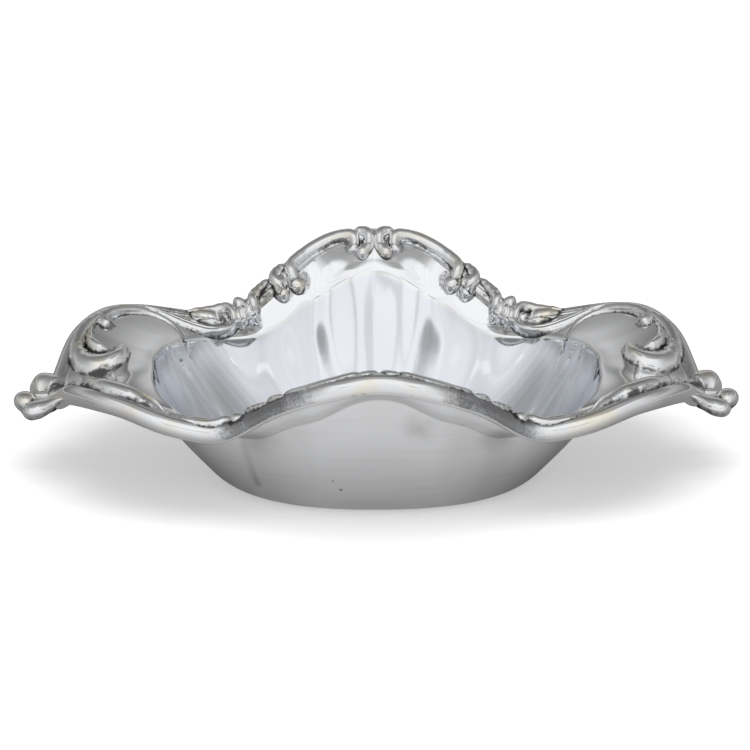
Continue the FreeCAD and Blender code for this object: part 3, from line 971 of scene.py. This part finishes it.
# %% Nodes from one method
class Finish:
    """The nodes of one material or of the world, made by one method."""

    def __init__(self, owner):
        owner.use_nodes = True
        self.nodes = owner.node_tree.nodes
        self.links = owner.node_tree.links
        self.nodes.clear()

    def node(self, kind, settings, inputs, output=0):
        """A node of a kind: first its settings, then the values or links of its inputs."""
        made = self.nodes.new(kind)
        for name, value in settings.items():
            setattr(made, name, value)
        for name, value in inputs.items():
            socket = made.inputs[name]
            if isinstance(value, Socket):
                self.links.new(value.output, socket)
            else:
                socket.default_value = value
        return Socket(self, made.outputs[output]) if len(made.outputs) else None

    def mix(self, share, first, second):
        """A colour between two, by a share."""
        settings = {"data_type": "RGBA"}
        return self.node("ShaderNodeMix", settings, {0: share, 6: first, 7: second}, 2)

    def noise(self, scale, detail, stretch=(1.0, 1.0, 1.0)):
        """Cloudy noise over the object's own metres, finer for a higher scale."""
        place = self.node("ShaderNodeTexCoord", {}, {}, "Object")
        place = self.node("ShaderNodeMapping", {}, {"Vector": place, "Scale": stretch})
        return self.node("ShaderNodeTexNoise", {}, {"Vector": place, "Scale": scale, "Detail": detail})

    def spot(self, place, size, core):
        """1 round a place on the object out to a core, a share of the size, and 0 at the size.

        The place and the size are in millimetres."""
        here = self.node("ShaderNodeTexCoord", {}, {}, "Object")
        middle = tuple(number * MM for number in place)
        away = self.node("ShaderNodeVectorMath", {"operation": "DISTANCE"}, {0: here, 1: middle}, "Value")
        return 1 - self.between(away, size * core * MM, size * MM)

    def layer(self, name):
        """A number per point that the mesh carries."""
        return self.node("ShaderNodeAttribute", {"attribute_name": name}, {}, "Fac")

    def between(self, value, low, high):
        """0 up to low, 1 from high, and eased between."""
        settings = {"interpolation_type": "SMOOTHSTEP"}
        return self.node("ShaderNodeMapRange", settings, {"Value": value, "From Min": low, "From Max": high})


def grey(level, tint=0.0):
    """A grey with a touch of blue for a positive tint and of yellow for a negative one."""
    return (level * (1 - tint / 2), level, level * (1 + tint), 1.0)


# %% [markdown]
# ## The finishes
# Polished silver mirrors its room, so its colour is nearly white and its detail is what wear
# leaves: fine scratches, faint clouds of tarnish, and a satin outside. Some of it is painted
# shade instead: the roll's dark reflection under its lip, and a dark line along a crease. On
# the castings the hollows keep a dark bloom that no cloth reaches, the palmettes' lobes are
# painted darker underneath as shade, and the high places are rubbed warm.

# %% Bloom beside the strands
BLOOM_REACH = 0.45
BLOOM_FROM = 15.0
BLOOM_END = 9
BLOOM_BATCH = 4000
FOOT_STATIONS = 90


def strand_foot(settings):
    """Places along a strand's line and its half width there, in millimetres."""
    line = open_spline(np.array(settings["line"]) * [HALF_LENGTH, HALF_WIDTH])
    spots = np.linspace(0.0, 1.0, FOOT_STATIONS)
    return np.column_stack([line(spots)[0], eased(settings["widths"], spots) * STRAND_WIDER / 2])


def bloom_beside(points):
    """How dark the metal beside the strands is: full at a strand's foot, gone a little off it.

    It falls by the same share with each step away from the nearest strand. The points are
    folded into one corner, the back ones on the back's strands and the front ones on the
    front's, and are worked out in batches to save memory."""
    bloom = np.zeros(len(points))
    for front, own in ((False, SCROLLS), (True, {**SCROLLS, **FRONT_SCROLLS})):
        feet = np.concatenate([strand_foot(settings) for strands in own.values() for settings in strands])
        chosen = np.flatnonzero((points[:, 2] > BLOOM_FROM) & ((points[:, 1] < 0) == front))
        for some in np.array_split(chosen, len(chosen) // BLOOM_BATCH + 1):
            folded = np.abs(points[some][:, :2])
            away = np.linalg.norm(folded[:, None, :] - feet[None, :, :2], axis=2) - feet[None, :, 2]
            bloom[some] = np.exp(-np.clip(away.min(axis=1), 0, BLOOM_END) / BLOOM_REACH)
    return bloom


# %% Marks on the bowl
PITS = [
    ((-14, 43.5, 34.5), 0.42), ((17, 41.5, 32), 0.38), ((21, 37.5, 31.5), 0.38),
    ((-8.5, -32, 7.5), 0.50), ((-10, -33, 9.5), 0.32), ((-40, -16, 8.5), 0.38),
]
PIT_CORE = 0.4
# These patches are painted shade: the roll's dark reflection on the outside, beneath its lip.
ROLL_REFLECTION_PATCHES = [((10, -38, 26), 7.0), ((-26.5, -33, 21), 6.5), ((26, -33, 20.5), 6.5)]
ROLL_REFLECTION_CORE = 0.0


def marks_on_bowl(marks, points, outside):
    """The marks, each a place and a size, with their places moved to the bowl's nearest point.

    A mark in front is on the bowl's outer face, and one behind on its inner face."""
    moved = []
    for place, size in marks:
        face = points[(outside > 0.5) == (place[1] < 0)]
        nearest = np.linalg.norm(face - np.array(place), axis=1).argmin()
        moved.append((face[nearest], size))
    return moved


# %% Polished silver
CLEAN = grey(0.91)
WELL_BLUE = grey(0.865, 0.045)
SATIN = grey(0.92)
YELLOWED = grey(0.55, -0.06)
PIT_GREY = grey(0.10)
PAINTED_REFLECTION_GREY = grey(0.38)
BRUSHED = grey(0.60, -0.04)
CREASE_SHADE_GREY = grey(0.30)
STAIN = grey(0.12, 0.03)


def polished_silver(pits, roll_reflection_patches):
    """The bowl's silver: a mirror inside, satin outside, with clouds, pits and stain, painted shade along a
    crease, and a painted dark reflection of the roll under its lip.
    """
    material = bpy.data.materials.new("polished_silver")
    tree = Finish(material)
    outside = tree.layer("outside")
    bloom = tree.layer("bloom")
    cloud = tree.noise(45.0, 3.0)
    grain = tree.noise(1100.0, 2.0)
    fine = tree.noise(900.0, 4.0, (1.0, 1.0, 0.15))
    colour = tree.mix(tree.layer("well"), CLEAN, WELL_BLUE)
    colour = tree.mix(outside, colour, SATIN)
    colour = tree.mix(tree.between(cloud, 0.45, 0.75) * 0.10, colour, YELLOWED)
    for place, size in pits:
        colour = tree.mix(tree.spot(place, size, PIT_CORE) * 0.75, colour, PIT_GREY)
    # Painted reflection: the roll's dark underside, mottled, darkens the outside beneath the lip.
    reflection_mottle = tree.between(tree.noise(120.0, 4.0), 0.25, 0.70)
    for place, size in roll_reflection_patches:
        colour = tree.mix(tree.spot(place, size, ROLL_REFLECTION_CORE) * reflection_mottle * 0.55, colour, PAINTED_REFLECTION_GREY)
    brushed = tree.noise(260.0, 3.0, (0.10, 0.10, 2.6))
    colour = tree.mix(tree.between(brushed, 0.50, 0.75) * outside * 0.16, colour, BRUSHED)
    # Painted shade: a dark line along the crease, which the bowl's shape doesn't fold.
    colour = tree.mix(tree.layer("crease") * 0.55, colour, CREASE_SHADE_GREY)
    stain = tree.between(bloom + (grain - 0.5) * 0.4, 0.80, 1.15) * (1 - outside)
    colour = tree.mix(stain * 0.8, colour, STAIN)
    rough = 0.045 + outside * 0.20 + cloud * 0.03 + outside * fine * 0.08 + stain * 0.25
    bump = tree.node("ShaderNodeBump", {}, {"Strength": 0.05, "Distance": 0.0001, "Height": fine})
    surface = tree.node("ShaderNodeBsdfPrincipled", {}, {
        "Base Color": colour, "Metallic": 1.0, "Roughness": rough, "Normal": bump})
    tree.node("ShaderNodeOutputMaterial", {}, {"Surface": surface})
    return material


# %% Cast silver
RUBBED = grey(0.86)
WARM = (0.86, 0.80, 0.64, 1.0)
PATINA = grey(0.20, 0.03)
DARK_BLOOM_AND_SHADE = grey(0.06, 0.05)


def cast_silver():
    """The border's silver: bright and warm where it is rubbed, dark in its hollows, and painted darker as
    shade under the palmettes' lobes.
    """
    material = bpy.data.materials.new("cast_silver")
    tree = Finish(material)
    recess = tree.layer("recess")
    cloud = tree.noise(160.0, 4.0)
    fine = tree.noise(1400.0, 3.0)
    grain = tree.noise(900.0, 2.0)
    pepper = tree.noise(1700.0, 3.0)
    # The bloom is dark tarnish in the hollows, and on the palmettes' lobes also painted shade underneath.
    bloom = tree.between(recess + (cloud - 0.5) * 1.3 + (grain - 0.5) * 1.1, 0.52, 1.02)
    tarnish = tree.between(tree.layer("patina") + (pepper - 0.5) * 0.7 + (cloud - 0.5) * 1.1, 0.25, 0.95)
    warm = tree.between(cloud, 0.48, 0.70) * (1 - recess).clip()
    colour = tree.mix(warm * 0.8, RUBBED, WARM)
    colour = tree.mix(tarnish * 0.86, colour, PATINA)
    colour = tree.mix(bloom * 0.92, colour, DARK_BLOOM_AND_SHADE)
    rough = 0.09 + bloom * 0.28 + tarnish * 0.16 + cloud * 0.10
    bump = tree.node("ShaderNodeBump", {}, {"Strength": 0.08, "Distance": 0.0001, "Height": fine})
    surface = tree.node("ShaderNodeBsdfPrincipled", {}, {
        "Base Color": colour, "Metallic": 1.0, "Roughness": rough, "Normal": bump})
    tree.node("ShaderNodeOutputMaterial", {}, {"Surface": surface})
    return material


# %% [markdown]
# ## Put the pieces together
# The bowl comes first, then the roll in four quarters, the scrolls in four corners and a
# palmette at each end, in the order in which the real dish is soldered. Each piece stands
# for the solid of the same name.

# %% Place the bowl
bowl_points, bowl_faces, bowl_values = make_bowl_surface()
pits = marks_on_bowl(PITS, bowl_points, bowl_values["outside"])
roll_reflection_patches = marks_on_bowl(ROLL_REFLECTION_PATCHES, bowl_points, bowl_values["outside"])
polished = polished_silver(pits, roll_reflection_patches)
cast = cast_silver()
bowl_values["bloom"] = bloom_beside(bowl_points)
bowl_mesh = make_mesh("bowl_stamped", bowl_points, bowl_faces, bowl_values)
place_piece("bowl_stamped", bowl_mesh, polished, ["bowl"])

# %% Place the edge roll
ROLL_STATIONS = 260
NECK_REACH = 4.5
NECK_FROM = 60.0
BESIDE_SHARE = 0.8
BACK_PATINA = 0.0
FRONT_PATINA = 0.90


def darkened(roll, side):
    """The roll with bloom on its inner side by the strands, and in the palmette's neck.

    The side is 1 for the back's strands and -1 for the front's."""
    points, faces, values = roll
    neck = np.exp(-(points[:, 1] / NECK_REACH) ** 2) * (points[:, 0] > NECK_FROM)
    beside = bloom_beside(points * [1, side, 1]) * values.pop("inner") * BESIDE_SHARE
    values["recess"] = np.maximum(values["recess"], np.maximum(beside, neck))
    return points, faces, values


back_roll = darkened(roll_surface(0.0, QUARTER, ROLL_STATIONS, BACK_PATINA), 1)
front_roll = darkened(roll_surface(0.0, QUARTER, ROLL_STATIONS, FRONT_PATINA), -1)
place_quarters("rim_roll", [back_roll], [front_roll], cast)


# %% Place the scrolls
FRONT_RISE_SHARE = 0.6


def lowered(strands, share):
    """The same strands with less rise: the front edge is worn flatter than the back."""
    return [dict(settings, rises=[rise * share for rise in settings["rises"]]) for settings in strands]


def all_strands(strands):
    """The surfaces of a list of strands."""
    surfaces = []
    for settings in strands:
        shape = dict(settings)
        surfaces.append(strand(shape.pop("line"), shape.pop("widths"), shape.pop("rises"), **shape))
    return surfaces


for scroll_name, strands in SCROLLS.items():
    front = FRONT_SCROLLS.get(scroll_name, lowered(strands, FRONT_RISE_SHARE))
    place_quarters(scroll_name, all_strands(strands), all_strands(front), cast)

# %% Place the palmettes
place_palmette("right", 1, cast)
place_palmette("left", -1, cast)

# %% [markdown]
# ## The camera
# The camera stands a little over a metre in front of the dish, raised by 21 degrees, and has
# a long lens, so the near and the far edge are drawn at nearly the same size. The lens is
# given as a focal length counted in picture points, and turned into millimetres here.

# %% Camera
ELEVATION = math.radians(21.0)
AZIMUTH = math.radians(-0.7)
CAMERA_DISTANCE = 1200.0
FOCAL_PIXELS = 5275.2
FRAME_PIXELS = 750
SENSOR = 36.0
FARTHEST = 20.0
AIM = np.array([-0.35, 0.0, 22.3])


def add_camera():
    """The camera, at its distance from the aim along the raised and turned line of sight."""
    back = np.array([
        math.sin(AZIMUTH) * math.cos(ELEVATION),
        -math.cos(AZIMUTH) * math.cos(ELEVATION),
        math.sin(ELEVATION),
    ])
    data = bpy.data.cameras.new("camera")
    data.sensor_width = SENSOR
    data.lens = SENSOR * FOCAL_PIXELS / FRAME_PIXELS
    data.clip_end = FARTHEST
    camera = bpy.data.objects.new("camera", data)
    bpy.context.scene.collection.objects.link(camera)
    camera.location = (AIM + back * CAMERA_DISTANCE) * MM
    camera.rotation_euler = (QUARTER - ELEVATION, 0.0, AZIMUTH)
    bpy.context.scene.camera = camera
    print("camera lens", round(data.lens, 1), "mm")


add_camera()

# %% [markdown]
# ## The studio
# Polished silver shows little but its surroundings, so a dish like this is photographed in a
# tent of white cloth. What the metal mirrors is that tent and the table, and neither is seen
# by the camera itself. The cloth is darkest behind the dish and lightens towards the camera.
# A bright sheet hangs in front, narrowest a little above the table and wider below and above
# that. A slimmer strip goes on above it, a low band of light runs round the back and the
# sides, and a soft glow stands low behind the dish. The roof is a plain grey. All of it is
# mixed from a few soft edges and bells, so each can be moved or dimmed by its own number.

# %% Soft edges
def rising(value, middle, softness):
    """0 well below the middle and 1 well above it, along an S curve as wide as the softness."""
    return 1 / (1 + np.exp((middle - value) / softness))


def bell(value, middle, half_width):
    """1 at the middle, falling off on both sides with the square of the distance."""
    return np.exp(-((value - middle) / half_width) ** 2)


# %% The cloth's brightness by direction
BACK_LEVEL = 0.19
FRONT_GAIN = 0.0030
BACK_HALF = 30.0
ROOF_FROM = 58.2
ROOF_SOFTNESS = 0.6
ROOF_SHARE = 0.92
ROOF_LIMIT = 0.38
FOOT_HEIGHT = 7.0
FOOT_SHADE = 0.20
BAND = {"level": 0.20, "height": 23.0, "half_height": 10.0, "stop": 115.0, "softness": 12.0}
GLOW = {"level": 0.25, "half_width": 28.0, "height": 35.0, "half_height": 16.0}
SHEET_LEVEL = 1.01
SHEET_EDGE = 137.0
SHEET_WAIST = 20.0
SHEET_LEAN = 7.8
SHEET_SOFTNESS = 14.0
SHEET_TIGHTENS = {"by": 6.0, "from": 42.0, "over": 14.0}
STRIP_EDGE = 154.5
STRIP_NARROWS = 0.8
STRIP_FROM = 60.0
STRIP_SOFTNESS = 6.3
STRIP_TOP = 74.5
STRIP_TOP_SOFTNESS = 2.0
SHEET_FOOT_SHADE = 0.55
TOP_LEVEL = 0.44
TOP_FROM = 80.5
TOP_SOFTNESS = 2.5


def plain_cloth(across, elevation):
    """The cloth without its sheets, over the degrees from straight behind and the height.

    Its level grows evenly from the back half angle on. The roof keeps a share of it up to a
    limit, and the foot is in shade."""
    wall = BACK_LEVEL + FRONT_GAIN * np.maximum(across - BACK_HALF, 0)
    roof = np.minimum(wall * ROOF_SHARE, ROOF_LIMIT)
    level = wall + (roof - wall) * rising(elevation, ROOF_FROM, ROOF_SOFTNESS)
    level = level * (1 - FOOT_SHADE * np.exp(-elevation / FOOT_HEIGHT))
    band = bell(elevation, BAND["height"], BAND["half_height"])
    level = level + BAND["level"] * band * rising(-across, -BAND["stop"], BAND["softness"])
    glow = bell(across, 0, GLOW["half_width"]) * bell(elevation, GLOW["height"], GLOW["half_height"])
    return level + GLOW["level"] * glow


def front_sheets(across, elevation):
    """How far the bright sheet and the strip above it cover the cloth, from 0 to 1.

    The sheet's edge is a parabola over the height, and tightens towards the roof."""
    edge = SHEET_EDGE - ((elevation - SHEET_WAIST) / SHEET_LEAN) ** 2
    tight = np.clip((elevation - SHEET_TIGHTENS["from"]) / SHEET_TIGHTENS["over"], 0, 1)
    sheet = rising(across, edge, SHEET_SOFTNESS - SHEET_TIGHTENS["by"] * tight)
    sheet = sheet * (1 - rising(elevation, ROOF_FROM, ROOF_SOFTNESS))
    strip_edge = STRIP_EDGE + STRIP_NARROWS * np.maximum(elevation - STRIP_FROM, 0)
    strip = rising(across, strip_edge, STRIP_SOFTNESS)
    strip = strip * rising(-elevation, -STRIP_TOP, STRIP_TOP_SOFTNESS)
    return np.maximum(sheet, strip) * (1 - SHEET_FOOT_SHADE * np.exp(-elevation / FOOT_HEIGHT))


# %% Folds and openings
FOLDS = ((23, 0.035, 0.3), (41, 0.025, 1.0), (67, 0.015, 2.0))
OPENINGS = (
    (180.0, 19.0, 1.4, 6.5, -0.22), (166.0, 25.5, 12.0, 4.4, 0.14), (166.0, 25.5, 8.5, 3.2, -0.62),
    (139.0, 29.0, 1.8, 2.6, 0.40),
)


def cloth_brightness(azimuth, elevation):
    """Brightness of the tent by direction: azimuth 0 is behind the dish, 180 at the camera.

    The cloth hangs in faint upright folds, each a number round the tent, a size and a start.
    The camera on its stand looks in through a gap, and on either side of it there are an
    oval opening with a pale rim and a small lamp. Each has its azimuth and height, half width
    and half height, and the change that it makes, full inside and gone soon after its edge."""
    across = np.abs((azimuth + 180) % 360 - 180)
    level = plain_cloth(across, elevation)
    level = level + (SHEET_LEVEL - level) * front_sheets(across, elevation)
    level = level + (TOP_LEVEL - level) * rising(elevation, TOP_FROM, TOP_SOFTNESS)
    for folds, size, start in FOLDS:
        level = level * (1 + size * np.sin(folds * np.radians(azimuth) + start))
    for middle, height, half_width, half_height, change in OPENINGS:
        away = ((across - middle) / half_width) ** 2 + ((elevation - height) / half_height) ** 2
        level = level * (1 + change * np.exp(-away ** 3))
    return level


# %% The table's brightness
FOOT_LENGTH = 40.0
FOOT_WIDTH = 30.0
TABLE_SHADOW_DARK = 0.28
TABLE_GAIN = 0.56
TABLE_REACH = 0.9
BESIDE_FROM = 25.0
BESIDE_OVER = 50.0
BESIDE_SHADE = 0.6


def table_brightness(x, y):
    """Brightness of the table card: a painted shadow of the dish, dark by the foot and lighter away from it,
    as under any bowl.

    It grows with the distance from the foot's oval, and is in painted shade beside and behind it."""
    away = np.maximum(np.hypot(x / FOOT_LENGTH, y / FOOT_WIDTH) - 1, 0)
    level = TABLE_SHADOW_DARK + TABLE_GAIN * (1 - np.exp(-away / TABLE_REACH))
    from_front = np.abs(np.degrees(np.arctan2(x, -y)))
    beside = np.clip((from_front - BESIDE_FROM) / BESIDE_OVER, 0, 1)
    return level * (1 - BESIDE_SHADE * beside)


# %% [markdown]
# ## Cloth that only the metal sees
# The tent and the table are meshes with a brightness at each point, and a material that
# shines by it. The camera and the lamps pass through them, so they show in the silver alone
# and throw neither light nor shadow on the floor.

# %% Stage helpers
def mirrored_only(stage):
    """Stage that the metal mirrors, and that neither the camera nor the lamps meet."""
    stage.visible_camera = False
    stage.visible_diffuse = False
    stage.visible_shadow = False
    stage.visible_transmission = False
    stage.visible_volume_scatter = False


def cloth_material(name):
    """Cloth that shines as bright as its own point layer says."""
    material = bpy.data.materials.new(name)
    tree = Finish(material)
    level = tree.layer("brightness")
    colour = tree.mix(level, grey(0.0), grey(1.0, 0.015))
    glow = tree.node("ShaderNodeEmission", {}, {"Color": colour, "Strength": 1.0})
    tree.node("ShaderNodeOutputMaterial", {}, {"Surface": glow})
    return material


def open_faces(rows, columns):
    """Four-sided faces between neighbouring rows of points, open at the sides."""
    row, column = np.meshgrid(np.arange(rows - 1), np.arange(columns - 1), indexing="ij")
    first = row * columns + column
    return np.stack([first, first + 1, first + columns + 1, first + columns], axis=-1).reshape(-1, 4)


def stage_surface(name, points, faces, brightness, material):
    """A stage surface from points in metres, with a brightness per point."""
    mesh = bpy.data.meshes.new(name)
    mesh.from_pydata(points.reshape(-1, 3).tolist(), [], faces.tolist())
    layer = mesh.attributes.new("brightness", "FLOAT", "POINT")
    layer.data.foreach_set("value", brightness.ravel().astype(np.float32))
    mesh.materials.append(material)
    stage = bpy.data.objects.new(name, mesh)
    bpy.context.scene.collection.objects.link(stage)
    mirrored_only(stage)
    print(name, "brightness", round(float(brightness.min()), 2), "to", round(float(brightness.max()), 2))


# %% The light tent
TENT_RADIUS = 1.4
TENT_FOOT = -3
TENT_ROWS = 181
TENT_COLUMNS = 360


def add_tent(cloth):
    """The tent: a half globe round the dish that starts a little below the table."""
    elevation = np.radians(np.linspace(TENT_FOOT, 90, TENT_ROWS))
    azimuth = np.radians(np.arange(TENT_COLUMNS))
    up, around = np.meshgrid(elevation, azimuth, indexing="ij")
    points = np.stack([np.sin(around) * np.cos(up), np.cos(around) * np.cos(up), np.sin(up)], axis=-1)
    level = cloth_brightness(np.degrees(around), np.degrees(up))
    stage_surface("light_tent", points * TENT_RADIUS, grid_faces(TENT_ROWS, TENT_COLUMNS), level, cloth)


# %% The table card
TABLE_HALF = 0.6
TABLE_POINTS = 241
TABLE_LIFT = 0.00002


def add_table(cloth):
    """The table as the metal mirrors it: a flat card, a hair above the floor."""
    table = np.linspace(-TABLE_HALF, TABLE_HALF, TABLE_POINTS)
    across, along = np.meshgrid(table, table)
    points = np.stack([across, along, np.full_like(across, TABLE_LIFT)], axis=-1)
    level = table_brightness(across / MM, along / MM)
    stage_surface("table_card", points, open_faces(TABLE_POINTS, TABLE_POINTS), level, cloth)


tent_cloth = cloth_material("tent_cloth")
add_tent(tent_cloth)
add_table(tent_cloth)

# %% [markdown]
# ## Floor, world and lamp
# The picture's ground is plain white. A white made by more light would burn out the dish, so
# the floor and the world are only brighter where the camera, the metal or glass look at them,
# and the light that falls on the dish stays as it is. One broad lamp from above gives the
# soft shadow.

# %% What is looked at
def looked_at(tree):
    """1 for what the camera, the metal and glass look at, and 0 for light on other things."""
    kinds = ("Is Camera Ray", "Is Glossy Ray", "Is Transmission Ray")
    camera, glossy, through = (tree.node("ShaderNodeLightPath", {}, {}, kind) for kind in kinds)
    return (camera + glossy + through).clip()


# %% Floor
FLOOR_HALF = 3.0
FLOOR_HEIGHT = -0.00002
PAPER = grey(0.80)
PAPER_GLOW = 0.35


def add_floor():
    """The white sweep: paper that also glows a little where it is looked at."""
    mesh = bpy.data.meshes.new("floor")
    outline = [(-1, -1), (1, -1), (1, 1), (-1, 1)]
    corners = [(x * FLOOR_HALF, y * FLOOR_HALF, FLOOR_HEIGHT) for x, y in outline]
    mesh.from_pydata(corners, [], [(0, 1, 2, 3)])
    floor = bpy.data.objects.new("floor", mesh)
    bpy.context.scene.collection.objects.link(floor)
    material = bpy.data.materials.new("white_sweep")
    tree = Finish(material)
    paper = tree.node("ShaderNodeBsdfDiffuse", {}, {"Color": PAPER})
    glow = tree.node("ShaderNodeEmission", {}, {"Color": grey(1.0), "Strength": PAPER_GLOW})
    both = tree.node("ShaderNodeAddShader", {}, {0: paper, 1: glow})
    surface = tree.node("ShaderNodeMixShader", {}, {0: looked_at(tree), 1: paper, 2: both})
    tree.node("ShaderNodeOutputMaterial", {}, {"Surface": surface})
    mesh.materials.append(material)


add_floor()

# %% World and lamps
SKY = grey(0.75)
SKY_STRENGTH = 0.8


def add_world():
    """A pale even sky for light, and plain white where it is looked at."""
    world = bpy.data.worlds.new("studio")
    bpy.context.scene.world = world
    tree = Finish(world)
    lighting = tree.node("ShaderNodeBackground", {}, {"Color": SKY, "Strength": SKY_STRENGTH})
    backdrop = tree.node("ShaderNodeBackground", {}, {"Color": grey(1.0), "Strength": 1.0})
    surface = tree.node("ShaderNodeMixShader", {}, {0: looked_at(tree), 1: lighting, 2: backdrop})
    tree.node("ShaderNodeOutputWorld", {}, {"Surface": surface})


def add_lamp(name, place, aim, width, height, power):
    """A flat soft lamp turned from its place towards an aim, which the metal doesn't mirror."""
    data = bpy.data.lights.new(name, "AREA")
    data.shape = "RECTANGLE"
    data.size = width
    data.size_y = height
    data.energy = power
    lamp = bpy.data.objects.new(name, data)
    bpy.context.scene.collection.objects.link(lamp)
    lamp.location = place
    lamp.visible_glossy = False
    direction = mathutils.Vector(aim) - mathutils.Vector(place)
    lamp.rotation_euler = direction.to_track_quat("-Z", "Y").to_euler()


add_world()
add_lamp("top_softbox", place=(0.0, -0.2, 0.9), aim=(0.0, 0.0, 0.0), width=0.9, height=0.6, power=5.0)

bpy.context.scene.view_settings.view_transform = "Standard"
